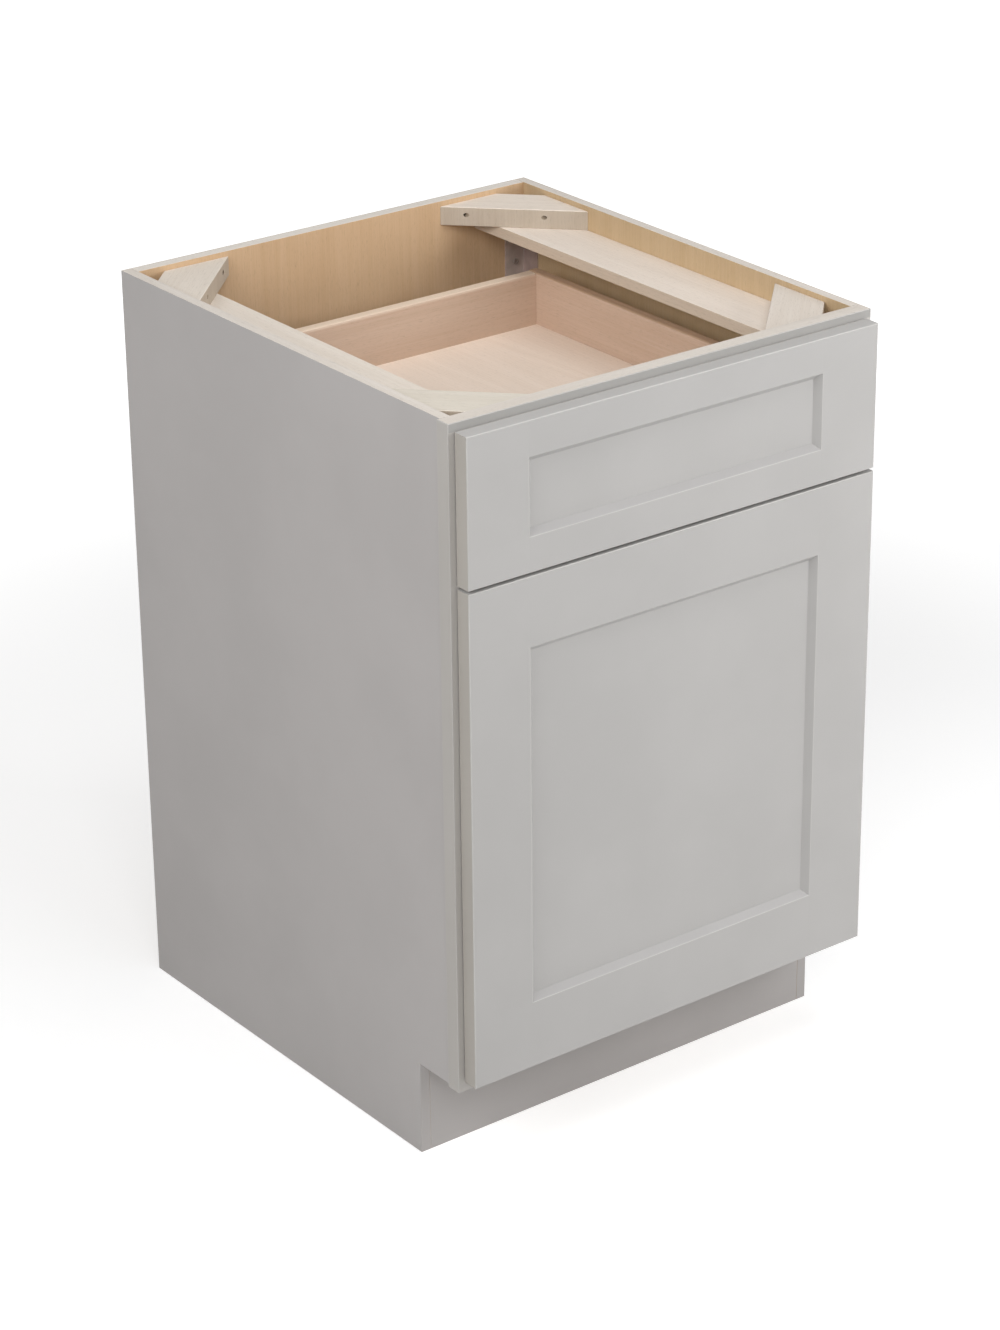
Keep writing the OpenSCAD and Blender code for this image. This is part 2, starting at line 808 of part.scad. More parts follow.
module drawer_box_front() {
    color(pink_wood)
    difference() {
        drawer_cross_board(fronts_back_y);
        drawer_front_screw_places() countersunk_hole(drawer_wall + over, over);
    }
}

module drawer_back() {
    color(pink_wood)
    difference() {
        drawer_cross_board(drawer_back_in_y);
        for (side = both) hand(side) span(
            [runner_x0 - notch_play, drawer_back_in_y - over, drawer_z - over],
            [drawer_in_x + over, drawer_end_y + over, drawer_bottom_z]
        );
    }
}

module drawer_bottom() {
    reach = drawer_groove_d - panel_play;
    color(light_wood)
    difference() {
        span(
            [-drawer_in_x - reach, drawer_front_in_y - reach, drawer_bottom_z],
            [drawer_in_x + reach, drawer_back_in_y + reach, drawer_bottom_z + drawer_bottom_t]
        );
        catch_screw_places() shank_hole(catch_h + catch_bite);
    }
}

// Framed fronts: stiles, rails with tongues, and a panel in grooves

// Outline of a front with rounded front edges, drawn from -half to half along the first axis
module rounded_front(low, high) {
    translate([low + edge_r, 0]) square([high - low - 2 * edge_r, front_t]);
    translate([low, edge_r]) square([high - low, front_t - edge_r]);
    for (x = [low + edge_r, high - edge_r]) translate([x, edge_r]) circle(r = edge_r);
}

// Outer shape of a front whose lower edge is at z
module front_blank(z, h) {
    intersection() {
        translate([0, front_y, z]) linear_extrude(h) rounded_front(-front_x, front_x);
        translate([-front_x, front_y, 0]) rotate([0, 90, 0]) linear_extrude(2 * front_x)
            mirror([1, 0]) rounded_front(z, z + h);
    }
}

// Section of a stile or rail: edge is the inner edge of its face and far its outer edge
function member_section(edge, far, way) = [
    [edge, front_y], [far, front_y], [far, fronts_back_y],
    [edge - way * bevel_w, fronts_back_y], [edge - way * bevel_w, panel_y]
];

module stile_bar(z, h) {
    translate([0, 0, z]) linear_extrude(h) polygon(member_section(front_in_x, front_x, 1));
}

module stile_groove(z, h) {
    translate([0, 0, z - over]) linear_extrude(h + 2 * over)
        translate([front_in_x - bevel_w - over, panel_y]) square([groove_d + over, panel_t]);
}

module front_stile(side, z, h) {
    hand(side) intersection() {
        front_blank(z, h);
        difference() {
            stile_bar(z, h);
            stile_groove(z, h);
        }
    }
}

// Rail between the stiles, with its inner edge at edge_z and its outer edge at far_z
module front_rail(z, h, edge_z, far_z) {
    way = far_z > edge_z ? 1 : -1;
    tongue_x = front_in_x - bevel_w + groove_d - panel_play;
    low = min(edge_z - way * bevel_w, far_z);
    high = max(edge_z - way * bevel_w, far_z);
    groove_end = edge_z + way * (groove_d - bevel_w);
    difference() {
        union() {
            intersection() {
                front_blank(z, h);
                difference() {
                    along_x(-front_in_x, front_in_x) polygon(member_section_yz(edge_z, far_z, way));
                    for (side = both) hand(side) stile_bar(z, h);
                }
            }
            span([-tongue_x, panel_y, low], [tongue_x, panel_y + panel_t, high]);
        }
        span(
            [-front_x, panel_y, min(groove_end, edge_z - way * (bevel_w + over))],
            [front_x, panel_y + panel_t, max(groove_end, edge_z - way * (bevel_w + over))]
        );
    }
}

function member_section_yz(edge, far, way) = [for (p = member_section(edge, far, way)) [p[1], p[0]]];

module front_panel_board(z, h, rail_h) {
    reach = groove_d - bevel_w - panel_play;
    color(paint)
    span(
        [-front_in_x - reach, panel_y, z + rail_h - reach],
        [front_in_x + reach, panel_y + panel_t, z + h - rail_h + reach]
    );
}

// Bumpers on the back of a front, opposite the frame's stiles
module bumpers(z, h) {
    color(clear_rubber)
    for (side = both) for (up = [z + bumper_inset, z + h - bumper_inset])
        translate([side * bumper_x, fronts_back_y, up]) rotate([-90, 0, 0])
            cylinder(h = front_gap - screw_fit * 4, d = bumper_d);
}

module drawer_stile(side) {
    color(paint)
    difference() {
        front_stile(side, drawer_front_z, drawer_front_h);
        drawer_front_screw_places() shank_hole(drawer_wall + screw_bite);
    }
}

module drawer_front_left_stile() drawer_stile(-1);
module drawer_front_right_stile() drawer_stile(1);

module drawer_front_top_rail() {
    top = drawer_front_z + drawer_front_h;
    color(paint) front_rail(drawer_front_z, drawer_front_h, top - drawer_rail_h, top);
}

module drawer_front_bottom_rail() {
    z = drawer_front_z;
    color(paint) front_rail(z, drawer_front_h, z + drawer_rail_h, z);
}

module drawer_front_panel() front_panel_board(drawer_front_z, drawer_front_h, drawer_rail_h);

module drawer_screws() {
    color(dark_steel) {
        drawer_front_screw_places() countersunk_screw(drawer_wall + screw_bite);
        catch_screw_places() countersunk_screw(catch_h + catch_bite);
    }
}

module drawer_bumpers() bumpers(drawer_front_z, drawer_front_h);

// Catches under the drawer front, each with a sprung release lever

module front_catch() {
    low = drawer_bottom_z - catch_h;
    span(
        [catch_x0, catch_y, drawer_bottom_z - catch_plate_t],
        [catch_x1, catch_y + catch_len, drawer_bottom_z]
    );
    span([catch_x1 - catch_block_w, catch_y, low], [catch_x1, catch_y + catch_len, drawer_bottom_z]);
    translate([post_x, post_y, low]) cylinder(h = catch_h, d = post_d);
    translate([post_x, post_y, low]) cylinder(h = post_cap_t, d = post_d + lever_t);
}

module front_catches() {
    color(grey_plastic)
    difference() {
        for (side = both) hand(side) front_catch();
        catch_screw_places() countersunk_hole(catch_h + over, over);
    }
}

module release_lever(side) {
    eye_r = post_d / 2 + lever_t / 2;
    pad_w = catch_block_w / 3;
    color([0.86, 0.42, 0.12]) hand(side)
    translate([post_x, 0, lever_z - lever_h]) difference() {
        union() {
            translate([0, post_y, 0]) cylinder(h = lever_h, r = eye_r);
            translate([-lever_t / 2, catch_y + lever_t, 0])
                cube([lever_t, post_y - catch_y - lever_t, lever_h]);
            translate([-lever_t / 2, catch_y + lever_t, 0]) cube([pad_w, lever_t, lever_h]);
        }
        translate([0, post_y, -over]) cylinder(h = lever_h + 2 * over, d = post_d + 2 * post_fit);
    }
}

module left_release_lever() release_lever(-1);
module right_release_lever() release_lever(1);

// Bin slides: ball-bearing members between the cleats and the carrier

// Channel from s0 to s1 beyond the cleat, with its web at web_s and flanges up to half_h
module bin_channel(s0, s1, web_s, half_h, y0, y1) {
    along_y(y0, y1) translate([opening_x, bin_slide_z]) mirror([1, 0]) {
        translate([web_s, -half_h]) square([slide_sheet, 2 * half_h]);
        for (z = [-half_h, half_h - slide_sheet]) translate([s0, z]) square([s1 - s0, slide_sheet]);
    }
}

module bin_slide_screw_places() {
    for (y = bin_screw_ys)
        translate([opening_x - slide_sheet, y, bin_slide_z]) points_to("+x") children();
}

module runner_screw_places() {
    for (y = bin_screw_ys)
        translate([opening_x - bin_runner_s, y, bin_slide_z]) points_to("-x") children();
}

module slide_cleats() {
    color(pale_wood)
    for (side = both) hand(side) difference() {
        span([opening_x, frame_back_y, floor_z], [side_in_x(side), cleat_end_y, floor_z + cleat_h]);
        bin_slide_screw_places() shank_hole(slide_sheet + screw_bite);
        cleat_screw_places() countersunk_hole(cleat_t(side) + over, over);
    }
}

module bin_slide_bases() {
    color(steel)
    for (side = both) hand(side) difference() {
        bin_channel(
            0, bin_slide_t - bin_web_gap, 0, bin_slide_h / 2,
            bin_slide_y, bin_slide_end_y
        );
        bin_slide_screw_places() shank_hole(slide_sheet + over);
    }
}

module bin_slide_screws() {
    color(dark_steel)
    for (side = both) hand(side) {
        bin_slide_screw_places() pan_screw(slide_sheet + screw_bite);
        cleat_screw_places() countersunk_screw(cleat_t(side) + screw_bite);
    }
}

module bin_slide_middles() {
    color(steel)
    for (side = both) hand(side) bin_channel(
        bin_middle_s, bin_runner_s - slide_play, bin_middle_s, bin_middle_out,
        bin_slide_y + slide_play, bin_middle_end_y
    );
}

// The outer balls lie at the rear of the middle members and the inner ones at the front
module bin_slide_balls() {
    outer_z = bin_base_in - track / 2;
    inner_z = bin_middle_in - track / 2;
    color([0.8, 0.8, 0.82])
    for (side = both) hand(side) for (edge = both) for (i = [1 : balls_each]) {
        translate([
            opening_x - bin_slide_t / 2, bin_middle_end_y - i * ball_step,
            bin_slide_z + edge * outer_z
        ]) sphere(d = ball_d);
        translate([
            opening_x - bin_runner_s + ball_d, bin_slide_y + i * ball_step,
            bin_slide_z + edge * inner_z
        ]) sphere(d = ball_d);
    }
}

module bin_slide_runners() {
    color(steel)
    for (side = both) hand(side) difference() {
        bin_channel(
            bin_middle_s + slide_sheet + slide_play, bin_slide_t, bin_runner_s, bin_runner_out,
            bin_slide_y, bin_slide_end_y
        );
        runner_screw_places() shank_hole(slide_sheet + over);
    }
}

module runner_screws() {
    color(dark_steel)
    for (side = both) hand(side) {
        runner_screw_places() pan_screw(slide_sheet + screw_bite);
        bracket_door_screw_places() pan_screw(door_bracket_t + screw_bite);
        bracket_foot_screw_places() pan_screw(door_bracket_t + screw_bite);
    }
}

// Bin carrier and the brackets that hold the door to it

module carrier_side(side) {
    color(light_wood) hand(side)
    difference() {
        span([carrier_in_x, fronts_back_y, carrier_z], [carrier_x, carrier_end_y, carrier_top_z]);
        runner_screw_places() shank_hole(slide_sheet + screw_bite);
        carrier_screw_holes();
        bracket_foot_screw_places() shank_hole(door_bracket_t + screw_bite);
    }
}

module carrier_left_side() carrier_side(-1);
module carrier_right_side() carrier_side(1);

// Board between the carrier's sides
module carrier_board(y0, y1, z1) {
    color(light_wood)
    difference() {
        span([-carrier_in_x, y0, carrier_z], [carrier_in_x, y1, z1]);
        carrier_screw_holes();
    }
}

module carrier_front() carrier_board(fronts_back_y, carrier_front_in_y, carrier_top_z);
module carrier_back() carrier_board(carrier_back_in_y, carrier_end_y, carrier_top_z);
module carrier_bottom() carrier_board(carrier_front_in_y, carrier_back_in_y, bin_z);

module bracket_door_screw_places() {
    for (part = [0.15, 0.5, 0.85]) translate([
        carrier_in_x - door_screw_in, fronts_back_y + door_bracket_t,
        door_bracket_z + part * (door_bracket_top - door_bracket_z)
    ]) points_to("-y") children();
}

module bracket_foot_screw_places() {
    for (part = [0.25, 0.75]) translate([
        carrier_in_x - door_bracket_t, carrier_front_in_y + part * door_bracket_d,
        carrier_top_z - foot_screw_down
    ]) points_to("+x") children();
}

// Screws through the carrier's sides into its front, back and bottom, right-hand side
module carrier_screw_places() {
    for (y = [fronts_back_y, carrier_back_in_y]) for (i = [0, 1])
        translate([carrier_x, y + carrier_t / 2, carrier_top_z - corner_screw_down - i * corner_screw_step])
            points_to("-x") children();
    for (y = [front_bin_y, rear_bin_y])
        translate([carrier_x, y, carrier_z + carrier_bottom_t / 2]) points_to("-x") children();
}

module carrier_screw_holes() {
    for (side = both) hand(side) carrier_screw_places() countersunk_hole(carrier_t + 2 * screw_bite, over);
}

module carrier_screws() {
    color(dark_steel)
    for (side = both) hand(side) carrier_screw_places() countersunk_screw(carrier_t + 2 * screw_bite);
}

module door_brackets() {
    back = fronts_back_y;
    color(dark_steel)
    for (side = both) hand(side) difference() {
        union() {
            along_x(carrier_in_x - door_bracket_t, carrier_in_x) polygon([
                [carrier_front_in_y, bracket_foot_z],
                [carrier_front_in_y + door_bracket_d, bracket_foot_z],
                [carrier_front_in_y + door_bracket_d, carrier_top_z],
                [back + door_bracket_top_d, door_bracket_top],
                [back, door_bracket_top],
                [back, door_bracket_z],
                [carrier_front_in_y, door_bracket_z]
            ]);
            span(
                [carrier_in_x - door_bracket_w, back, door_bracket_z],
                [carrier_in_x, back + door_bracket_t, door_bracket_top]
            );
        }
        bracket_door_screw_places() shank_hole(door_bracket_t + over);
        bracket_foot_screw_places() shank_hole(door_bracket_t + over);
    }
}

module door_stile(side) {
    color(paint)
    difference() {
        front_stile(side, door_z, door_h);
        hand(side) bracket_door_screw_places() shank_hole(door_bracket_t + screw_bite);
    }
}

module door_left_stile() door_stile(-1);
module door_right_stile() door_stile(1);

module door_top_rail() {
    top = door_z + door_h;
    color(paint) front_rail(door_z, door_h, top - door_rail_h, top);
}

module door_bottom_rail() {
    color(paint) front_rail(door_z, door_h, door_z + door_rail_h, door_z);
}

module door_panel() front_panel_board(door_z, door_h, door_rail_h);

module door_bumpers() bumpers(door_z, door_h);

// Bins

// Plate with round corners, centred on the origin
module rounded_plate(w, l, r, h) {
    linear_extrude(h) {
        square([w - 2 * r, l], center = true);
        square([w, l - 2 * r], center = true);
        for (x = both) for (y = both)
            translate([x * (w / 2 - r), y * (l / 2 - r)]) circle(r = r);
    }
}

// Tapered body of a bin between two heights, drawn in from its outside by inset
module bin_body(inset, low, high) {
    top_w = bin_w - 2 * bin_rim_w - 2 * inset;
    top_l = bin_l - 2 * bin_rim_w - 2 * inset;
    top_r = bin_corner_r - bin_rim_w - inset;
    hull() {
        translate([0, 0, low])
            rounded_plate(top_w - 2 * bin_taper, top_l - 2 * bin_taper, top_r - bin_taper / 4, 0.1);
        translate([0, 0, high - 0.1]) rounded_plate(top_w, top_l, top_r, 0.1);
    }
}

module bin(y) {
    color(bin_grey)
    translate([0, y, bin_z]) difference() {
        union() {
            bin_body(0, 0, bin_h);
            translate([0, 0, bin_h - bin_rim_h]) difference() {
                rounded_plate(bin_w, bin_l, bin_corner_r, bin_rim_h);
                translate([0, 0, -bin_wall]) rounded_plate(
                    bin_w - 2 * bin_wall, bin_l - 2 * bin_wall, bin_corner_r - bin_wall, bin_rim_h
                );
            }
        }
        bin_body(bin_wall, bin_wall, bin_h + over);
    }
}

module front_bin() bin(front_bin_y);
module rear_bin() bin(rear_bin_y);

left_side_panel();
right_side_panel();
back_panel();
floor_panel();
toe_kick_board();
frame_left_stile();
frame_right_stile();
frame_top_rail();
frame_middle_rail();
frame_bottom_rail();
front_left_brace();
front_right_brace();
back_left_brace();
back_right_brace();
left_top_board();
right_top_board();
brace_screws();
drawer_slide_bases();
rear_brackets();
drawer_slide_screws();
slide_cleats();
bin_slide_bases();
bin_slide_screws();
drawer_slide_middles();
drawer_slide_rollers();
drawer_slide_runners();
drawer_left_side();
drawer_right_side();
drawer_box_front();
drawer_back();
drawer_bottom();
drawer_front_left_stile();
drawer_front_right_stile();
drawer_front_top_rail();
drawer_front_bottom_rail();
drawer_front_panel();
drawer_screws();
drawer_bumpers();
front_catches();
left_release_lever();
right_release_lever();
bin_slide_middles();
bin_slide_balls();
bin_slide_runners();
runner_screws();
carrier_left_side();
carrier_right_side();
carrier_front();
carrier_back();
carrier_bottom();
door_left_stile();
door_right_stile();
door_top_rail();
door_bottom_rail();
door_panel();
door_brackets();
carrier_screws();
door_bumpers();
front_bin();
rear_bin();
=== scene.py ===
import math

import bmesh
import bpy
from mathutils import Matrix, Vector


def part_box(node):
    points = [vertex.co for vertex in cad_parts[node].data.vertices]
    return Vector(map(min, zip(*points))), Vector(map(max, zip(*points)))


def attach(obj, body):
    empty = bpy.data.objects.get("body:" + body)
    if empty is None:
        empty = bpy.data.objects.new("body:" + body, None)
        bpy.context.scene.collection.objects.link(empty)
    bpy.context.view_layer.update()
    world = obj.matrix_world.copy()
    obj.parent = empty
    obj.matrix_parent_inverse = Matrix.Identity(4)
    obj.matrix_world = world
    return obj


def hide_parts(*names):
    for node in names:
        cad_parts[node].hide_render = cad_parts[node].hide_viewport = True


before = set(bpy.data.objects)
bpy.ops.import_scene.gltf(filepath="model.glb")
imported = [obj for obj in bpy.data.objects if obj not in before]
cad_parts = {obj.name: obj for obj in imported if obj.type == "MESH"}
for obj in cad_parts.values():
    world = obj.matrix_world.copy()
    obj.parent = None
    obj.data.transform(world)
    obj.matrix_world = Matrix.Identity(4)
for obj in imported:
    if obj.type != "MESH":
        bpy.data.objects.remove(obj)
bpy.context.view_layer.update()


# Studio
# The cabinet stands on a white floor. Wide soft lamps shine on it from low at the front right,
# from the left, from high at the front left and from above, and a long lens looks down at it
# from the front left. The lens is shifted a little, as the photograph was trimmed unevenly.
view_turn = math.radians(-38.507)
view_dip = math.radians(24.753)
view_place = (-2.3363, -3.1020, 2.1907)
view_shift_x = -0.0677
view_shift_y = 0.0188
lens_mm = 101.77
room_light = 0.11
floor_bounce = 0.75
floor_white = 0.80
floor_glow = 0.45
floor_far_glow = 1.00
glow_reach = (1.0, 2.6)
floor_size = 40


class Wire:
    """A socket of a finish. A sign that is used on it adds the Math node for that sign."""

    def __init__(self, finish, socket):
        self.finish = finish
        self.socket = socket

    def maths(self, operation, *values):
        sockets = dict(enumerate(values))
        return self.finish.node("ShaderNodeMath", {"operation": operation}, sockets)

    def __add__(self, other):
        return self.maths("ADD", self, other)

    def __sub__(self, other):
        return self.maths("SUBTRACT", self, other)

    def __rsub__(self, other):
        return self.maths("SUBTRACT", other, self)

    def __mul__(self, other):
        return self.maths("MULTIPLY", self, other)

    __radd__ = __add__
    __rmul__ = __mul__

    def rise(self, low, high):
        """0 below low, 1 above high, and a smooth step between them."""
        settings = {"interpolation_type": "SMOOTHSTEP"}
        values = {"Value": self, "From Min": low, "From Max": high}
        return self.finish.node("ShaderNodeMapRange", settings, values)


class Finish:
    """The nodes of a material or of the world."""

    def __init__(self, owner):
        owner.use_nodes = True
        self.owner = owner
        self.nodes = owner.node_tree.nodes
        self.links = owner.node_tree.links

    def feed(self, node, values):
        for name, value in values.items():
            if isinstance(value, Wire):
                self.links.new(value.socket, node.inputs[name])
            else:
                node.inputs[name].default_value = value

    def node(self, kind, settings, values, output=0):
        """Adds a node, with its settings first, and gives one of its outputs."""
        new = self.nodes.new(kind)
        for name, value in settings.items():
            setattr(new, name, value)
        self.feed(new, values)
        return Wire(self, new.outputs[output])

    def mix(self, amount, first, second):
        values = {0: amount, 6: first, 7: second}
        return self.node("ShaderNodeMix", {"data_type": "RGBA"}, values, 2)

    def surface(self, values):
        self.feed(self.nodes["Principled BSDF"], values)

    def seen(self):
        """1 where the lens or a reflection looks, and 0 for light on its way to the cabinet."""
        names = ("Is Camera Ray", "Is Glossy Ray", "Is Transmission Ray")
        camera_ray, glossy, through = (self.node("ShaderNodeLightPath", {}, {}, n) for n in names)
        rays = camera_ray + glossy + through
        return rays.maths("MINIMUM", rays, 1)


def grey(level):
    return (level, level, level, 1)


def aim(thing, place, target):
    thing.rotation_euler = (Vector(target) - Vector(place)).to_track_quat("-Z", "Y").to_euler()


def soft_lamp(name, place, target, size, power):
    bpy.ops.object.light_add(type="AREA", location=place)
    lamp = bpy.context.object
    lamp.name = name
    lamp.data.size = size
    lamp.data.energy = power
    aim(lamp, place, target)


bpy.ops.object.select_all(action="DESELECT")
bpy.ops.object.camera_add(location=view_place)
camera = bpy.context.object
camera.data.lens = lens_mm
camera.data.shift_x = view_shift_x
camera.data.shift_y = view_shift_y
camera.rotation_euler = (math.radians(90) - view_dip, 0, view_turn)
bpy.context.scene.camera = camera
bpy.context.scene.view_settings.view_transform = "Standard"

soft_lamp("front_lamp", (1.2, -1.8, 1.25), (0, -0.2, 0.6), 1.3, 30)
soft_lamp("left_lamp", (-2.4, -0.7, 2.3), (0, 0, 0.5), 1.8, 47)
soft_lamp("fill_lamp", (-2.6, -3.6, 3.3), (0, 0, 0.7), 2.2, 64)
soft_lamp("top_lamp", (0.3, -0.5, 3.2), (0, 0, 0.8), 1.8, 25)

bpy.context.scene.world = bpy.data.worlds.new("room")
room = Finish(bpy.context.scene.world)
room.feed(room.nodes["Background"], {
    "Color": grey(1), "Strength": room.seen() * (1 - room_light) + room_light,
})

bpy.ops.mesh.primitive_plane_add(size=floor_size)
studio_floor = bpy.context.object
studio_floor.name = "studio_floor"
floor_finish = Finish(bpy.data.materials.new("studio_floor"))
floor_seen = floor_finish.seen()
floor_place = floor_finish.node("ShaderNodeTexCoord", {}, {}, "Object")
floor_far = floor_finish.node("ShaderNodeVectorMath", {"operation": "LENGTH"}, {0: floor_place}, 1)
glow = floor_finish.mix(floor_far.rise(*glow_reach), grey(floor_glow), grey(floor_far_glow))
floor_finish.surface({
    "Base Color": floor_finish.mix(floor_seen, grey(floor_bounce), grey(floor_white)),
    "Emission Color": floor_finish.mix(floor_seen, grey(0), glow),
    "Emission Strength": 1, "Specular IOR Level": 0, "Roughness": 1,
})
studio_floor.data.materials.append(floor_finish.owner)


# Side panels
# Plywood sides, painted outside and plain veneer inside, with a pale band along the edges.
# Each is notched at the front for the toe space and grooved for the floor panel.
hair = 0.00005
lap = 0.001
panel_ease = 0.0006
sharp_bend = math.radians(40)
toe_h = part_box("frame_bottom_rail")[0].z
toe_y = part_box("toe_kick_board")[0].y
floor_low, floor_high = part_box("floor_panel")
wood_pull = (0.85, 1.0, 1.15)


def tone(red, green, blue):
    """A colour as a screen shows it, from 0 to 255, in the light values of a shader."""
    return tuple(((value / 255 + 0.055) / 1.055) ** 2.4 for value in (red, green, blue)) + (1,)


def new_finish(name):
    return Finish(bpy.data.materials.new(name))


def spots(look, size, detail=2.0, turn=0.0, shift=0.0):
    """Noise whose spots have the given size along each axis, turned about Z and shifted."""
    place = look.node("ShaderNodeTexCoord", {}, {}, "Object")
    pattern = look.node("ShaderNodeMapping", {"vector_type": "TEXTURE"}, {
        "Vector": place, "Scale": size, "Rotation": (0, 0, turn), "Location": (shift, shift, shift),
    })
    return look.node("ShaderNodeTexNoise", {}, {"Vector": pattern, "Scale": 1, "Detail": detail})


def relief(look, height, depth):
    return look.node("ShaderNodeBump", {}, {"Height": height, "Distance": depth}, "Normal")


def paint(name, colour, sheen, shift=0.0):
    """Sprayed satin paint: slow clouds of tone, a fine orange peel and a little uneven sheen."""
    look = new_finish(name)
    clouds = spots(look, (0.16, 0.16, 0.16), 3, 0, shift)
    peel = spots(look, (0.0022, 0.0022, 0.0022), 2)
    darker = tone(*(value - 2 for value in colour))
    lighter = tone(*(value + 2 for value in colour))
    look.surface({
        "Base Color": look.mix(clouds.rise(0.3, 0.7), darker, lighter),
        "Roughness": sheen + 0.08 * spots(look, (0.03, 0.03, 0.03)),
        "Normal": relief(look, peel, 0.00003),
        "Specular IOR Level": 0.4,
    })
    return look.owner


def wood(name, colour, grain, turn=0.0, shift=0.0, contrast=5, sheen=0.5):
    """Sanded wood with its grain along one axis: broad figure, fine streaks and short pores."""
    look = new_finish(name)
    pale = tuple(value + contrast * pull for value, pull in zip(colour, wood_pull))
    dark = tuple(value - contrast * pull for value, pull in zip(colour, wood_pull))

    def size(across, along):
        return tuple(along if axis == grain else across for axis in range(3))

    field = spots(look, size(0.09, 1.1), 1, turn, shift)
    rings = field * 60
    figured = rings.maths("SINE", rings) * 0.5 + 0.5
    streaks = spots(look, size(0.0022, 0.12), 3, turn, shift).rise(0.25, 0.75)
    pores = spots(look, size(0.0006, 0.008), 1, turn, shift).rise(0.60, 0.72)
    shade = figured * 0.4 + streaks * 0.6
    body = look.mix(shade, tone(*pale), tone(*dark))
    pore_tone = tone(*(value * 0.8 for value in dark))
    look.surface({
        "Base Color": look.mix(pores * 0.35, body, pore_tone),
        "Roughness": sheen + 0.12 * streaks,
        "Normal": relief(look, streaks * 0.4 - pores, 0.00006),
        "Specular IOR Level": 0.35,
    })
    return look.owner


def only(piece):
    bpy.ops.object.select_all(action="DESELECT")
    piece.select_set(True)
    bpy.context.view_layer.objects.active = piece


def board(name, low, high):
    """A board sawn to fill the box between two corners."""
    bpy.ops.object.select_all(action="DESELECT")
    bpy.ops.mesh.primitive_cube_add(size=1, location=(Vector(low) + Vector(high)) / 2)
    piece = bpy.context.object
    piece.name = name
    piece.data.name = name
    piece.scale = Vector(high) - Vector(low)
    bpy.ops.object.transform_apply(location=True, rotation=True, scale=True)
    return piece


def pick(piece, kind, wanted):
    """Opens a piece in edit mode with the corners, edges or faces selected that are wanted."""
    only(piece)
    bpy.ops.object.mode_set(mode="EDIT")
    bpy.ops.mesh.select_mode(type=kind)
    bpy.ops.mesh.select_all(action="DESELECT")
    mesh = bmesh.from_edit_mesh(piece.data)
    for corner in mesh.verts if kind == "VERT" else ():
        corner.select_set(wanted(corner.co))
    for edge in mesh.edges if kind == "EDGE" else ():
        start, end = (corner.co for corner in edge.verts)
        edge.select_set(wanted((start + end) / 2, (end - start).normalized()))
    for face in mesh.faces if kind == "FACE" else ():
        face.select_set(wanted(face.calc_center_median(), face.normal))
    mesh.select_flush_mode()
    bmesh.update_edit_mesh(piece.data)


def done():
    bpy.ops.object.mode_set(mode="OBJECT")


def cut(piece, place, normal, drop=False):
    """Saws a piece along a plane, and drops what lies on the side that the normal points to."""
    pick(piece, "FACE", lambda middle, facing: True)
    bpy.ops.mesh.bisect(plane_co=place, plane_no=normal, use_fill=drop, clear_outer=drop)
    done()


def shift_corners(piece, wanted, offset):
    pick(piece, "VERT", wanted)
    bpy.ops.transform.translate(value=offset)
    done()


def extend(piece, wanted, offset):
    """Pulls the wanted faces out of a piece."""
    pick(piece, "FACE", wanted)
    bpy.ops.mesh.extrude_region_move(TRANSFORM_OT_translate={"value": offset})
    done()


def round_edges(piece, wanted, radius, segments=4, finish=-1):
    pick(piece, "EDGE", wanted)
    bpy.ops.mesh.bevel(offset=radius, segments=segments, affect="EDGES", material=finish)
    done()


def apply_modifier(piece, kind, **settings):
    only(piece)
    modifier = piece.modifiers.new("work", kind)
    for name, value in settings.items():
        setattr(modifier, name, value)
    bpy.ops.object.modifier_apply(modifier="work")


def carve(piece, cutter):
    """Cuts another shape out of a piece and throws that shape away."""
    apply_modifier(piece, "BOOLEAN", operation="DIFFERENCE", solver="EXACT", object=cutter)
    bpy.data.objects.remove(cutter)


def smooth(piece):
    """Shades round edges round and leaves the flats flat."""
    only(piece)
    bpy.ops.object.shade_smooth_by_angle(angle=sharp_bend)
    apply_modifier(piece, "WEIGHTED_NORMAL", keep_sharp=True)


def ease(piece, width, segments=2, finish=-1):
    """Takes the sharpness off every edge, as sandpaper does."""
    apply_modifier(
        piece, "BEVEL", width=width, segments=segments, limit_method="ANGLE",
        angle_limit=sharp_bend, material=finish,
    )
    smooth(piece)


def coat(piece, finishes, choose=lambda place, facing: 0):
    """Gives a piece its finishes, and each face the one that is chosen for its place."""
    for finish in finishes:
        piece.data.materials.append(finish)
    for face in piece.data.polygons:
        face.material_index = choose(face.center, face.normal)


def settle(piece, body, slot, *nodes):
    """Says what a finished piece moves with and what it stands for. The slot is not used."""
    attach(piece, body)
    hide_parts(*nodes)


case_paint = paint("case_paint", (172, 168, 166), 0.46)
case_paint_edge = paint("case_paint_edge", (182, 178, 175), 0.40)
side_veneer = wood("side_veneer", (199, 173, 137), 2, shift=0.3)
edge_band = wood("edge_band", (214, 206, 197), 1, contrast=4, sheen=0.6)

for node, side in (("left_side_panel", -1), ("right_side_panel", 1)):
    low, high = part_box(node)
    panel = board(node + "_piece", (low.x, low.y, toe_h), high)
    cut(panel, (0, toe_y, 0), (0, 1, 0))
    extend(panel, lambda place, facing: facing.z < -0.9 and place.y > toe_y, (0, 0, -toe_h))
    carve(panel, board("groove", floor_low - Vector((0, lap, 0)), floor_high))
    coat(panel, (case_paint, side_veneer, edge_band, case_paint_edge), lambda place, facing: (
        0 if facing.x * side > 0.9 else 1 if facing.x * side < -0.9
        else 0 if place.z < floor_low.z and place.y < toe_y + lap else 2
    ))
    ease(panel, panel_ease)
    settle(panel, "cabinet", "cabinet_paint", node)


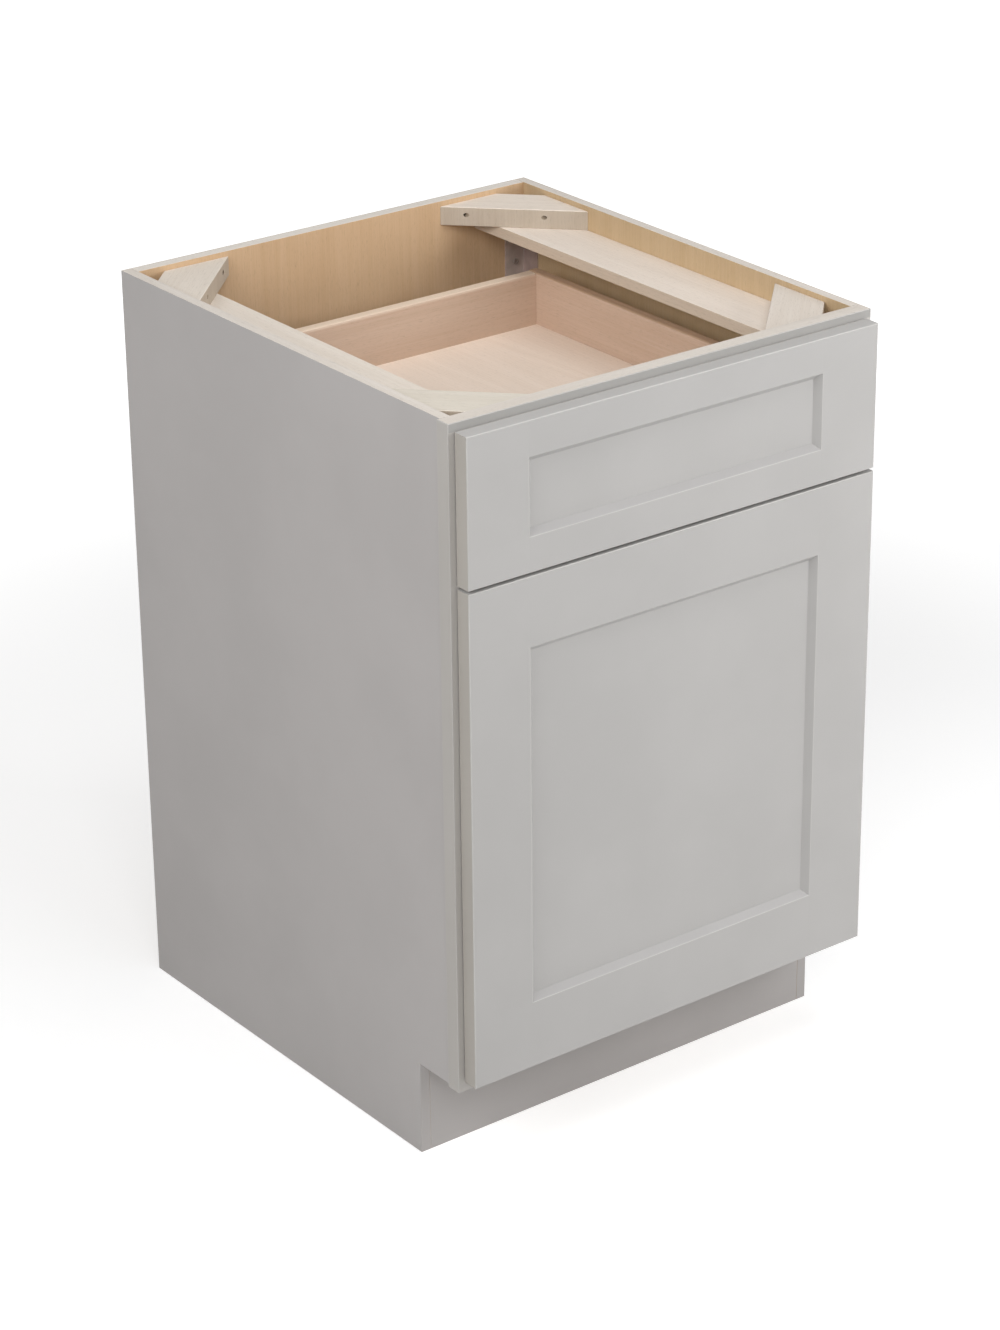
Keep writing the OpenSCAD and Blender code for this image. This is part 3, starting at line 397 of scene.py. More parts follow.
# Back panel, floor panel and toe board
# The back stands between the sides and the floor sits in their grooves, both of the same
# plywood. The toe board closes the toe space and is painted like the sides.
back_veneer = wood("back_veneer", (200, 169, 134), 2, shift=1.7)
back_band = wood("back_band", (221, 214, 205), 0, contrast=4, sheen=0.6)
floor_veneer = wood("floor_veneer", (200, 171, 134), 0, shift=2.9)

back = board("back_panel_piece", *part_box("back_panel"))
coat(back, (back_veneer, back_band), lambda place, facing: 0 if abs(facing.y) > 0.9 else 1)
ease(back, panel_ease)
settle(back, "cabinet", "cabinet_ply", "back_panel")

cabinet_floor = board("floor_panel_piece", floor_low, floor_high)
coat(
    cabinet_floor, (floor_veneer, edge_band), lambda place, facing: 0 if abs(facing.z) > 0.9 else 1,
)
ease(cabinet_floor, panel_ease / 2)
settle(cabinet_floor, "cabinet", "cabinet_ply", "floor_panel")

toe_board = board("toe_kick_piece", *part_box("toe_kick_board"))
coat(toe_board, (case_paint, edge_band), lambda place, facing: 0 if facing.y < -0.9 else 1)
ease(toe_board, panel_ease)
settle(toe_board, "cabinet", "cabinet_paint", "toe_kick_board")


# Face frame
# Solid stiles and rails, glued edge to edge in front of the sides. The joints are sanded
# flush and sprayed over, so the frame is one piece with two openings, bare along its top.
frame_ease = 0.0008
front_top_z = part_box("drawer_front_top_rail")[1].z
frame_paint = paint("frame_paint", (182, 178, 173), 0.44, 0.7)
# The face above the drawer front and the faces that look left take darker tones of the same paint,
# which are painted shade.
frame_paint_shaded_face = paint("frame_paint_shaded_face", (156, 154, 151), 0.46, 1.1)
frame_paint_edge = paint("frame_paint_edge", (181, 178, 174), 0.38)
frame_paint_shaded_side = paint("frame_paint_shaded_side", (172, 168, 163), 0.46, 1.3)
frame_bare = wood("frame_bare", (209, 201, 192), 0, shift=3.7, contrast=4, sheen=0.6)
frame_rails = "frame_bottom_rail", "frame_middle_rail", "frame_top_rail"
frame_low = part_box("frame_left_stile")[0]
frame_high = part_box("frame_right_stile")[1]
opening_x0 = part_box("frame_left_stile")[1].x
opening_x1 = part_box("frame_right_stile")[0].x

face_frame = board("face_frame", frame_low, frame_high)
for under, over in zip(frame_rails, frame_rails[1:]):
    carve(face_frame, board(
        "opening", (opening_x0, frame_low.y - lap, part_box(under)[1].z),
        (opening_x1, frame_high.y + lap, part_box(over)[0].z),
    ))
# The frame is cut at the drawer front's top, where the painted shade on its face begins.
cut(face_frame, (0, 0, front_top_z), (0, 0, 1))


def frame_part(place, facing):
    """The finish of a frame's face: 2 bare top, 3 painted shade on the face over the fronts, 4
    painted shade on faces that look left, 0 else.
    """
    if place.z > frame_high.z - hair:
        return 2
    if facing.x < -0.9:
        return 4
    return 3 if facing.y < -0.9 and place.z > front_top_z else 0


coat(
    face_frame,
    (frame_paint, frame_paint_edge, frame_bare, frame_paint_shaded_face, frame_paint_shaded_side), frame_part,
)
ease(face_frame, frame_ease, finish=1)
settle(face_frame, "cabinet", "frame_paint", "frame_left_stile", "frame_right_stile", *frame_rails)


# Corner braces
# Blocks of pale wood sawn across the four corners, each held by two screws whose heads lie
# deep in holes in the long edge. They are made at the origin and copied to their corners, and
# the back left one is a little shorter and wider than the others.
brace_leg = 0.123
brace_cut = 0.041
back_left_leg = 0.118
back_left_cut = 0.033
brace_screw_cross = 0.022
brace_screw_side = 0.0365
brace_screw_down = 0.0093
brace_screw_sink = 0.006
brace_hole_d = 0.0049
brace_ease = 0.0012
hole_deep = 0.015
brace_low, brace_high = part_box("front_right_brace")
brace_screw_z = brace_high.z - brace_screw_down
frame_back_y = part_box("frame_top_rail")[1].y
back_in_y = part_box("back_panel")[0].y
side_in_x = {-1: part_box("left_side_panel")[1].x, 1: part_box("right_side_panel")[0].x}


def face_out(piece):
    """Turns every face of a flipped piece outwards again."""
    pick(piece, "FACE", lambda middle, facing: True)
    bpy.ops.mesh.normals_make_consistent(inside=False)
    done()
    smooth(piece)


def copy_of(piece, name, place, flip):
    """A copy with its own mesh, flipped about the origin, then moved."""
    only(piece)
    bpy.ops.object.duplicate()
    twin = bpy.context.object
    twin.name = name
    twin.data.name = name
    twin.location = place
    twin.scale = flip
    bpy.ops.object.transform_apply(location=True, rotation=True, scale=True)
    face_out(twin)
    return twin


def saw_brace(name, leg, corner_cut):
    """A brace with its corner at the origin, and a screw hole square to each of its two legs."""
    block = board(name, (0, 0, brace_low.z), (leg, leg, brace_high.z))
    cut(block, (leg, 0, 0), (1, 1, 0), drop=True)
    cut(block, (corner_cut, 0, 0), (-1, -1, 0), drop=True)
    ease(block, brace_ease, 3)
    for inset, turn in (
        (brace_screw_cross, (math.pi / 2, 0, 0)), (brace_screw_side, (0, math.pi / 2, 0)),
    ):
        place = [leg - inset, inset - brace_screw_sink + hole_deep / 2]
        if inset == brace_screw_side:
            place.reverse()
        bpy.ops.mesh.primitive_cylinder_add(
            vertices=24, radius=brace_hole_d / 2, depth=hole_deep, location=(*place, brace_screw_z),
            rotation=turn,
        )
        carve(block, bpy.context.object)
    smooth(block)
    return block


brace = saw_brace("brace", brace_leg, brace_cut)
wide_brace = saw_brace("wide_brace", back_left_leg, back_left_cut)

# The braces' sides are darker than their tops, and the walls of the screw holes darker still: both
# are painted shade.
brace_side_shade = wood("brace_side_shade", (186, 173, 157), 2, shift=2.3, sheen=0.75)
brace_bore_shade = wood("brace_bore_shade", (156, 141, 123), 2, shift=3.1, sheen=0.8)


def brace_part(place, facing):
    """The finish of a brace's face: 0 planed, 1 side with painted shade, 2 the wall of a screw hole
    with painted shade.
    """
    if abs(place.z - brace_screw_z) < brace_hole_d / 2:
        return 2 if abs(facing.z) > 0.1 else 1
    return 0 if abs(facing.z) > 0.3 else 1


# Each brace has its own tone of planed wood, palest at the back right: these tones are painted
# light and shade.
for node, source, x_side, y_side, colour in (
    ("front_left_brace", brace, -1, -1, (212, 204, 191)),
    ("front_right_brace", brace, 1, -1, (215, 205, 194)),
    ("back_left_brace", wide_brace, -1, 1, (219, 209, 197)),
    ("back_right_brace", brace, 1, 1, (229, 217, 204)),
):
    corner = (side_in_x[x_side], back_in_y if y_side > 0 else frame_back_y, 0)
    block = copy_of(source, node + "_piece", corner, (-x_side, -y_side, 1))
    turn = -45 if x_side == y_side else 45
    brace_planed = wood(node + "_wood", colour, 0, math.radians(turn), turn, 4, 0.62)
    coat(block, (brace_planed, brace_side_shade, brace_bore_shade), brace_part)
    settle(block, "cabinet", "brace_wood", node)
bpy.data.objects.remove(brace)
bpy.data.objects.remove(wide_brace)


# Top boards
# Flat pale boards that lie along the sides under the braces, planed and lightly sanded.
board_ease = 0.0008
# The two boards have their own tones, and their edges are darker than their tops: both are painted
# light and shade.
for node, shift, colour in (
    ("left_top_board", 4.1, (224, 214, 202)), ("right_top_board", 5.3, (229, 217, 205)),
):
    top_board = board(node + "_piece", *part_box(node))
    top_wood = wood(node + "_wood", colour, 1, shift=shift, contrast=4)
    board_side_shade = wood(node + "_side_shade", (200, 184, 166), 1, shift=-shift, contrast=4, sheen=0.7)
    coat(top_board, (top_wood, board_side_shade), lambda place, facing: 0 if abs(facing.z) > 0.3 else 1)
    ease(top_board, board_ease)
    settle(top_board, "cabinet", "brace_wood", node)


# Rear brackets
# Grey steel brackets screwed to the back panel in both rear corners. An angle runs up the
# corner, and a tray with two cheeks at its foot holds the rear end of the drawer slide.
bracket_t = 0.002
bracket_w = 0.029
bracket_d = 0.028
bracket_bend_r = 0.0015
bracket_corner_r = 0.004
tray_lap = 0.02
sheet_ease = 0.0003
slide_w = 0.024
slide_sheet = 0.0015
slide_play = 0.0006
bracket_low, bracket_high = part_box("rear_brackets")
slide_end_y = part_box("drawer_slide_bases")[1].y
slide_x1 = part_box("drawer_right_side")[0].x - slide_play
slide_x0 = slide_x1 - slide_w


def steel(name, colour, grain=1, rough=0.34, metal=1.0):
    """Zinc plated sheet: faint rolling lines along one axis and slow grey clouds."""
    look = new_finish(name)
    lines = spots(look, tuple(0.05 if axis == grain else 0.0009 for axis in range(3)), 2)
    clouds = spots(look, (0.02, 0.02, 0.02), 2)
    darker = tone(*(value * 0.82 for value in colour))
    look.surface({
        "Base Color": look.mix(clouds.rise(0.3, 0.7) * 0.6 + lines * 0.4, darker, tone(*colour)),
        "Metallic": metal,
        "Roughness": rough + 0.14 * clouds + 0.10 * lines,
        "Normal": relief(look, lines, 0.00002),
    })
    return look.owner


def both_hands(piece, wall_x=1):
    """Adds a left-hand twin, whose corners past wall_x follow the set-in left side panel."""
    apply_modifier(piece, "MIRROR", use_axis=(True, False, False), use_mirror_merge=False)
    shift_corners(piece, lambda place: place.x < -wall_x, (side_in_x[-1] + side_in_x[1], 0, 0))
    face_out(piece)


def join(first, *others):
    only(first)
    for other in others:
        other.select_set(True)
    bpy.ops.object.join()


# The faces that look along X take a darker tone of the same steel, which is painted shade.
bracket_steel = steel("bracket_steel", (208, 192, 183), 2, 0.52, 0.2)
bracket_steel_shaded_side = steel("bracket_steel_shaded_side", (182, 160, 153), 2, 0.52, 0.2)
flange = board(
    "rear_brackets_piece", (bracket_high.x - bracket_w, bracket_high.y - bracket_t, bracket_low.z),
    bracket_high,
)
flange_x = bracket_high.x - bracket_t
cut(flange, (flange_x, 0, 0), (1, 0, 0))
extend(
    flange, lambda place, facing: facing.y < -0.9 and place.x > flange_x,
    (0, bracket_t - bracket_d, 0),
)
round_edges(flange, lambda place, way: (
    abs(way.z) > 0.9 and abs(place.x - flange_x) < hair
    and abs(place.y - bracket_high.y + bracket_t) < hair
), bracket_bend_r, 3)
round_edges(flange, lambda place, way: abs(place.z - bracket_high.z) < hair and (
    (abs(way.y) > 0.9 and place.x < bracket_high.x - bracket_w + hair)
    or (abs(way.x) > 0.9 and place.y < bracket_high.y - bracket_d + hair)
), bracket_corner_r, 4)

cheek_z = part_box("drawer_slide_bases")[1].z
tray = board(
    "bracket_tray", (slide_x0 - bracket_t, slide_end_y - tray_lap, bracket_low.z),
    (slide_x1 + bracket_t, bracket_high.y, bracket_low.z + bracket_t),
)
cut(tray, (0, slide_end_y, 0), (0, 1, 0))
extend(
    tray, lambda place, facing: facing.x > 0.9 and place.y > slide_end_y,
    (bracket_high.x - slide_x1 - bracket_t, 0, 0),
)
for line_x in (slide_x0, slide_x1):
    cut(tray, (line_x, 0, 0), (1, 0, 0))
extend(tray, lambda place, facing: (
    facing.z > 0.9 and place.y < slide_end_y and place.x < slide_x1 + bracket_t
    and not slide_x0 < place.x < slide_x1
), (0, 0, cheek_z - bracket_low.z - bracket_t))
join(flange, tray)
ease(flange, sheet_ease)
both_hands(flange, slide_x1 + 2 * bracket_t)
coat(
    flange, (bracket_steel, bracket_steel_shaded_side),
    lambda place, facing: 1 if abs(facing.x) > 0.5 else 0,
)
settle(flange, "cabinet", "bracket_steel", "rear_brackets")


# Drawer slides
# Three members of zinc plated steel under each side of the drawer. The fixed one stands on a
# foot behind the middle rail, two channels back to back carry rollers in it, and the runner
# is screwed to the drawer.
slide_zinc = steel("slide_zinc", (196, 198, 200))
fold_r = 0.0014
channel_ease = 0.0002
slide_web = 0.008
slide_x = (slide_x0 + slide_x1) / 2


def channel(name, low, high, sheet, opening):
    """A channel folded from sheet along Y that fills the box between two corners."""
    low, high, opening = Vector(low), Vector(high), Vector(opening)
    across, side = (2, 0) if opening.z else (0, 2)
    web_low, web_high = low.copy(), high.copy()
    if opening[across] > 0:
        web_high[across] = low[across] + sheet
        back_at = low[across]
    else:
        web_low[across] = high[across] - sheet
        back_at = high[across]
    piece = board(name, web_low, web_high)
    folds = low[side] + sheet, high[side] - sheet
    normal = Vector((0, 0, 0))
    normal[side] = 1
    for fold in folds:
        cut(piece, normal * fold, normal)
    extend(
        piece,
        lambda place, facing: facing.dot(opening) > 0.9 and not folds[0] < place[side] < folds[1],
        opening * (high[across] - low[across] - sheet),
    )
    round_edges(piece, lambda place, way: (
        abs(way.y) > 0.9 and abs(place[across] - back_at) < hair
        and min(abs(place[side] - low[side]), abs(place[side] - high[side])) < hair
    ), fold_r, 3)
    return piece


foot_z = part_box("drawer_slide_bases")[0].z
base_z = bracket_low.z + bracket_t
slide_base = channel(
    "drawer_slide_bases_piece", (slide_x0, frame_back_y, base_z), (slide_x1, slide_end_y, cheek_z),
    slide_sheet, (0, 0, 1),
)
cut(slide_base, (0, frame_back_y + slide_sheet, 0), (0, 1, 0))
extend(
    slide_base,
    lambda place, facing: facing.z < -0.9 and place.y < frame_back_y + slide_sheet,
    (0, 0, foot_z - base_z),
)
ease(slide_base, channel_ease)
both_hands(slide_base)
coat(slide_base, [slide_zinc])
settle(slide_base, "cabinet", "slide_steel", "drawer_slide_bases")

middle_low, middle_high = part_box("drawer_slide_middles")
middle_half = slide_w / 2 - slide_sheet - slide_play
middle_web = slide_web / 2 - slide_sheet
slide_middle, middle_twin = (
    channel(
        name, (slide_x + x0, middle_low.y, middle_low.z),
        (slide_x + x1, middle_high.y, middle_high.z), slide_sheet, (hand, 0, 0),
    )
    for name, hand, x0, x1 in (
        ("drawer_slide_middles_piece", 1, middle_web, middle_half),
        ("middle_twin", -1, -middle_half, -middle_web),
    )
)
join(slide_middle, middle_twin)
ease(slide_middle, channel_ease)
both_hands(slide_middle)
coat(slide_middle, [slide_zinc])
settle(slide_middle, "drawer_middle_members", "slide_steel", "drawer_slide_middles")

runner_low, runner_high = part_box("drawer_slide_runners")
slide_runner = channel(
    "drawer_slide_runners_piece", (slide_x0, runner_low.y, runner_low.z),
    (slide_x1, runner_high.y, runner_high.z), slide_sheet, (0, 0, -1),
)
ease(slide_runner, channel_ease)
both_hands(slide_runner)
coat(slide_runner, [slide_zinc])
settle(slide_runner, "drawer", "slide_steel", "drawer_slide_runners")


# Bin slides and cleats
# Wooden cleats bring the slides level with the frame opening. Each slide is a channel within
# a channel within a channel, with rows of balls between them.
cleat_wood = wood("cleat_wood", (213, 197, 178), 1, shift=6.1)
bin_zinc = steel("bin_zinc", (200, 202, 204), 1, 0.30)
bin_slide_t = 0.0127
bin_base_t = 0.0099
bin_middle_near, bin_middle_far = 0.0043, 0.0106
bin_runner_near = 0.0064
cleat_ease = 0.001
cleat_x = opening_x1
cleat_low, cleat_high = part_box("slide_cleats")
cleat = board("slide_cleats_piece", (cleat_x, cleat_low.y, cleat_low.z), cleat_high)
ease(cleat, cleat_ease)
both_hands(cleat, cleat_x + lap)
coat(cleat, [cleat_wood])
settle(cleat, "cabinet", "brace_wood", "slide_cleats")

for node, body, near, far, opening in (
    ("bin_slide_bases", "cabinet", 0, bin_base_t, -1),
    ("bin_slide_middles", "bin_middle_members", bin_middle_near, bin_middle_far, -1),
    ("bin_slide_runners", "pull_out", bin_runner_near, bin_slide_t, 1),
):
    low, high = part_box(node)
    member = channel(
        node + "_piece", (cleat_x - far, low.y, low.z), (cleat_x - near, high.y, high.z),
        slide_sheet, (opening, 0, 0),
    )
    ease(member, channel_ease)
    both_hands(member)
    coat(member, [bin_zinc])
    settle(member, body, "slide_steel", node)


# Drawer box
# Sides of pink toned plywood that run through, with the front and back between them and the
# bottom in a groove. The upper edges are rounded over; those of the front and back are paler,
# and those of the sides darker, as painted shade from the boards above.
drawer_round = 0.0035
drawer_ease = 0.0006
drawer_floor_ease = 0.0003
slide_notch_play = 0.003
slide_notch_x = slide_x0 - slide_notch_play
drawer_long = wood("drawer_long_ply", (196, 170, 150), 1, shift=7.3)
drawer_cross = wood("drawer_cross_ply", (199, 174, 154), 0, shift=8.9)
# The sides' rims are darker than their faces, which is painted shade from the boards above.
drawer_rim_long_shade = wood("drawer_rim_long_shade", (188, 160, 135), 1, shift=9.1, contrast=4)
drawer_rim_cross = wood("drawer_rim_cross", (222, 203, 183), 0, shift=9.7, contrast=4)
# The bottom's ply is paler, and its tone is raised further as painted light from above.
drawer_base_lit = wood("drawer_base_ply", (234, 218, 203), 1, shift=10.3, contrast=4)
bottom_low, bottom_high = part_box("drawer_bottom")
box_side_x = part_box("drawer_right_side")[0].x

for node in ("drawer_left_side", "drawer_right_side", "drawer_box_front", "drawer_back"):
    low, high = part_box(node)
    long = low.x * high.x > 0
    if not long:
        low.x, high.x = -box_side_x, box_side_x
    wall = board(node + "_piece", low, high)
    top_z = high.z
    round_edges(wall, lambda place, way: (
        place.z > top_z - hair and abs(way.y if long else way.x) > 0.9
    ), drawer_round, 4)
    if node == "drawer_back":
        for x0, x1 in ((-box_side_x - lap, -slide_notch_x), (slide_notch_x, box_side_x + lap)):
            carve(wall, board(
                "slide_notch", (x0, low.y - lap, low.z - lap), (x1, high.y + lap, bottom_low.z),
            ))
    else:
        carve(wall, board("groove", bottom_low, bottom_high))
    coat(
        wall, (drawer_long, drawer_rim_long_shade) if long else (drawer_cross, drawer_rim_cross),
        lambda place, facing: 1 if abs(facing.z) > 0.7 else 0,
    )
    ease(wall, drawer_ease)
    settle(wall, "drawer", "drawer_wood", node)

drawer_floor = board("drawer_bottom_piece", bottom_low, bottom_high)
coat(drawer_floor, [drawer_base_lit])
ease(drawer_floor, drawer_floor_ease)
settle(drawer_floor, "drawer", "drawer_ply", "drawer_bottom")


# Drawer front and door
# Both are sprayed frames of stiles and rails with a flat panel set back in a groove. The
# inner edges slope down to the panel, and the outer edges are eased.
front_edge_r = 0.001
front_slope = 0.007
inner_edge_r = 0.0005
field_ease = 0.0005
# The outer sides of the stiles and the upward slopes of the rails take darker tones of the same
# paint, which are painted shade.
front_paint = paint("front_paint", (172, 170, 168), 0.42, 1.9)
# The rounded and eased edges take a lighter tone than the faces, which is a painted highlight.
front_paint_edge_highlight = paint("front_paint_edge_highlight", (182, 180, 177), 0.36)
front_paint_shaded_side = paint("front_paint_shaded_side", (167, 162, 155), 0.46, 2.7)
front_paint_shaded_slope = paint("front_paint_shaded_slope", (164, 162, 161), 0.44, 3.3)
front_finishes = front_paint, front_paint_edge_highlight, front_paint_shaded_side, front_paint_shaded_slope


def front_stile(node, body, side, rail_low_z, rail_high_z):
    """A stile that slopes down between the rails. It gives back where its slope starts."""
    low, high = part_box(node)
    deep_x, outer_x = (low.x, high.x) if side > 0 else (high.x, low.x)
    face_x = deep_x + side * front_slope
    stile = board(node + "_piece", low, high)
    for height in (rail_low_z, rail_high_z):
        cut(stile, (0, 0, height), (0, 0, 1))
    cut(stile, (0, panel_y, 0), (0, 1, 0))
    shift_corners(
        stile, lambda place: place.y < panel_y - hair and abs(place.x - deep_x) < hair,
        (side * front_slope, 0, 0),
    )
    # The outer side of a stile is darkened as painted shade.
    coat(stile, front_finishes, lambda place, facing: 2 if facing.x * side > 0.9 else 0)
    round_edges(stile, lambda place, way: (
        place.y < low.y + hair
        and (abs(place.x - outer_x) < hair or min(place.z - low.z, high.z - place.z) < hair)
    ), front_edge_r, 3, 1)
    round_edges(stile, lambda place, way: (
        place.y < low.y + hair and abs(way.z) > 0.9 and abs(place.x - face_x) < hair
        and rail_low_z < place.z < rail_high_z
    ), inner_edge_r, 2, 1)
    smooth(stile)
    settle(stile, body, "front_paint", node)
    return abs(face_x)


def front_rail(node, body, face_x, way_in):
    """A rail between the stiles' slopes, sloped on the side of the panel."""
    low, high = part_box(node)
    low.x, high.x = -face_x, face_x
    deep_z = high.z if way_in > 0 else low.z
    face_z = deep_z - way_in * front_slope
    outer_z = low.z if way_in > 0 else high.z
    rail = board(node + "_piece", low, high)
    cut(rail, (0, panel_y, 0), (0, 1, 0))
    shift_corners(
        rail, lambda place: place.y < panel_y - hair and abs(place.z - deep_z) < hair,
        (0, 0, -way_in * front_slope),
    )
    for end in (-1, 1):
        shift_corners(
            rail, lambda place: place.y > panel_y - hair and place.x * end > 0,
            (-end * front_slope, 0, 0),
        )
    # The upward slope of a bottom rail is darkened as painted shade.
    coat(
        rail, front_finishes,
        lambda place, facing: 3 if facing.z > 0.3 and facing.y < -0.3 else 0,
    )
    round_edges(rail, lambda place, way: (
        place.y < low.y + hair and abs(way.x) > 0.9 and abs(place.z - outer_z) < hair
    ), front_edge_r, 3, 1)
    round_edges(rail, lambda place, way: (
        place.y < low.y + hair and abs(way.x) > 0.9 and abs(place.z - face_z) < hair
    ), inner_edge_r, 2, 1)
    smooth(rail)
    settle(rail, body, "front_paint", node)


for front, body in (("drawer_front", "drawer"), ("door", "pull_out")):
    panel_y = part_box(front + "_panel")[0].y
    rail_low_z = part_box(front + "_bottom_rail")[1].z - front_slope
    rail_high_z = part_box(front + "_top_rail")[0].z + front_slope
    face_x = front_stile(front + "_left_stile", body, -1, rail_low_z, rail_high_z)
    front_stile(front + "_right_stile", body, 1, rail_low_z, rail_high_z)
    front_rail(front + "_bottom_rail", body, face_x, 1)
    front_rail(front + "_top_rail", body, face_x, -1)
    field = board(front + "_panel_piece", *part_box(front + "_panel"))
    coat(field, front_finishes)
    ease(field, field_ease, finish=1)
    settle(field, body, "front_paint", front + "_panel")


# Carrier
# A low open box of birch plywood that holds the bins, butt jointed and screwed. Its plies
# show as fine lines along the upper edges.
ply_t = 0.0015
carrier_ease = 0.0009


def ply_edge(name, axis, start, shift):
    """The edge of plywood, whose plies are pale and dark by turns across one axis."""
    look = new_finish(name)
    place = look.node("ShaderNodeTexCoord", {}, {}, "Object")
    across = look.node("ShaderNodeSeparateXYZ", {}, {"Vector": place}, axis)
    wobble = spots(look, (0.03, 0.03, 0.03), 2, 0, shift) * 0.0004
    ply = (across + wobble - start).maths("PINGPONG", across + wobble - start, ply_t).rise(
        ply_t * 0.4, ply_t * 0.6
    )
    fibre = spots(look, (0.0008, 0.0008, 0.0008), 2, 0, shift)
    dark = look.mix(fibre, tone(196, 166, 128), tone(168, 134, 98))
    pale = look.mix(fibre, tone(236, 218, 190), tone(216, 192, 158))
    look.surface({
        "Base Color": look.mix(ply, pale, dark), "Roughness": 0.6 + 0.15 * fibre,
        "Normal": relief(look, ply * 0.5 + fibre * 0.5, 0.00008), "Specular IOR Level": 0.3,
    })
    return look.owner


carrier_low, carrier_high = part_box("carrier_right_side")
carrier_face = wood("carrier_ply", (222, 201, 170), 1, shift=11.5, contrast=8)
carrier_cross = wood("carrier_cross_ply", (222, 201, 170), 0, shift=12.7, contrast=8)
carrier_edge_x = ply_edge("carrier_edge_x", 0, carrier_low.x, 0.4)
carrier_edge_y = ply_edge("carrier_edge_y", 1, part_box("carrier_front")[0].y, 1.4)
for node in ("carrier_left_side", "carrier_right_side", "carrier_front", "carrier_back"):
    low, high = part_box(node)
    long = low.x * high.x > 0
    wall = board(node + "_piece", low, high)
    thick = 0 if long else 1
    coat(
        wall, (carrier_face, carrier_edge_x) if long else (carrier_cross, carrier_edge_y),
        lambda place, facing: 0 if abs(facing[thick]) > 0.9 else 1,
    )
    ease(wall, carrier_ease)
    settle(wall, "pull_out", "carrier_wood", node)
carrier_floor = board("carrier_bottom_piece", *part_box("carrier_bottom"))
coat(carrier_floor, [carrier_face])
ease(carrier_floor, carrier_ease)
settle(carrier_floor, "pull_out", "carrier_wood", "carrier_bottom")


# Door brackets
# Bent steel plates screwed to the carrier's sides inside and to the back of the door, with a
# long slope at the rear.
plate_t = 0.002
flange_w = 0.025
plate_foot_d = 0.060
plate_top_d = 0.025
plate_step = 0.002
plate_corner_r = 0.005
door_back_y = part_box("door_left_stile")[1].y
plate_low, plate_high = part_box("door_brackets")
carrier_front_in_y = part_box("carrier_front")[1].y
plate_slope_z = carrier_high.z
plate_step_z = plate_slope_z + plate_step
plate_end_y = carrier_front_in_y + plate_foot_d
plate = board(
    "door_brackets_piece", (plate_high.x - plate_t, door_back_y, plate_step_z),
    (plate_high.x, plate_end_y, plate_high.z),
)
cut(plate, (0, carrier_front_in_y, 0), (0, 1, 0))
extend(
    plate, lambda place, facing: facing.z < -0.9 and place.y > carrier_front_in_y,
    (0, 0, plate_low.z - plate_step_z),
)
slope = Vector((0, plate_high.z - plate_slope_z, plate_end_y - door_back_y - plate_top_d))
cut(plate, (0, plate_end_y, plate_slope_z), slope.normalized(), drop=True)
cut(plate, (0, door_back_y + plate_t, 0), (0, 1, 0))
extend(
    plate, lambda place, facing: facing.x < -0.9 and place.y < door_back_y + plate_t,
    (plate_t - flange_w, 0, 0),
)
round_edges(
    plate, lambda place, way: abs(way.y) > 0.9 and place.x < plate_high.x - flange_w + hair,
    plate_corner_r, 4,
)
ease(plate, sheet_ease)
both_hands(plate)
coat(plate, [steel("door_bracket_zinc", (178, 180, 182), 2, 0.36)])
settle(plate, "pull_out", "bracket_steel", "door_brackets")


# Bins
# Tapered bins moulded in dark grey plastic, with round corners and a wide rim that turns down
# all round. Each stands loose in the carrier and lifts out.
bin_wall = 0.0025
bin_rim_w = 0.009
bin_rim_h = 0.014
bin_taper = 0.018
bin_corner_r = 0.029
bin_foot_r = 0.008
bin_ease = 0.0008


def moulded(name, colour, rough, spot, depth):
    """Moulded plastic with a fine spark grain and slow changes of sheen."""
    look = new_finish(name)
    grain = spots(look, (spot, spot, spot), 2)
    clouds = spots(look, (0.06, 0.06, 0.06), 2)
    darker = tone(*(value * 0.93 for value in colour))
    look.surface({
        "Base Color": look.mix(clouds, darker, tone(*colour)),
        "Roughness": rough + 0.10 * clouds + 0.08 * grain,
        "Normal": relief(look, grain, depth),
    })
    return look.owner


bin_plastic = moulded("bin_plastic", (84, 86, 89), 0.42, 0.0009, 0.00006)
for node, body in (("front_bin", "front_bin_body"), ("rear_bin", "rear_bin_body")):
    low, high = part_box(node)
    middle = (low + high) / 2
    rim = Vector((bin_rim_w, bin_rim_w, 0))
    body_low, body_high = low + rim, high - rim
    shell = board(node + "_piece", body_low, body_high)
    foot = [1 - 2 * bin_taper / (body_high[axis] - body_low[axis]) for axis in (0, 1)]
    pick(shell, "FACE", lambda place, facing: facing.z < -0.9)
    bpy.ops.transform.resize(value=(*foot, 1), center_override=middle)
    done()
    round_edges(shell, lambda place, way: abs(way.z) > 0.9, bin_corner_r, 8)
    round_edges(shell, lambda place, way: place.z < low.z + hair, bin_foot_r, 4)
    pick(shell, "FACE", lambda place, facing: facing.z > 0.9)
    bpy.ops.mesh.delete(type="ONLY_FACE")
    done()
    pick(shell, "EDGE", lambda place, way: place.z > high.z - hair)
    grow = [(high[axis] - low[axis]) / (body_high[axis] - body_low[axis]) for axis in (0, 1)]
    bpy.ops.mesh.extrude_region_move(TRANSFORM_OT_translate={"value": (0, 0, 0)})
    bpy.ops.transform.resize(value=(*grow, 1), center_override=(middle.x, middle.y, high.z))
    bpy.ops.mesh.extrude_region_move(TRANSFORM_OT_translate={"value": (0, 0, -bin_rim_h)})
    done()
    apply_modifier(shell, "SOLIDIFY", thickness=bin_wall, offset=-1, use_even_offset=True)
    coat(shell, [bin_plastic])
    ease(shell, bin_ease)
    settle(shell, body, "bin_plastic", node)


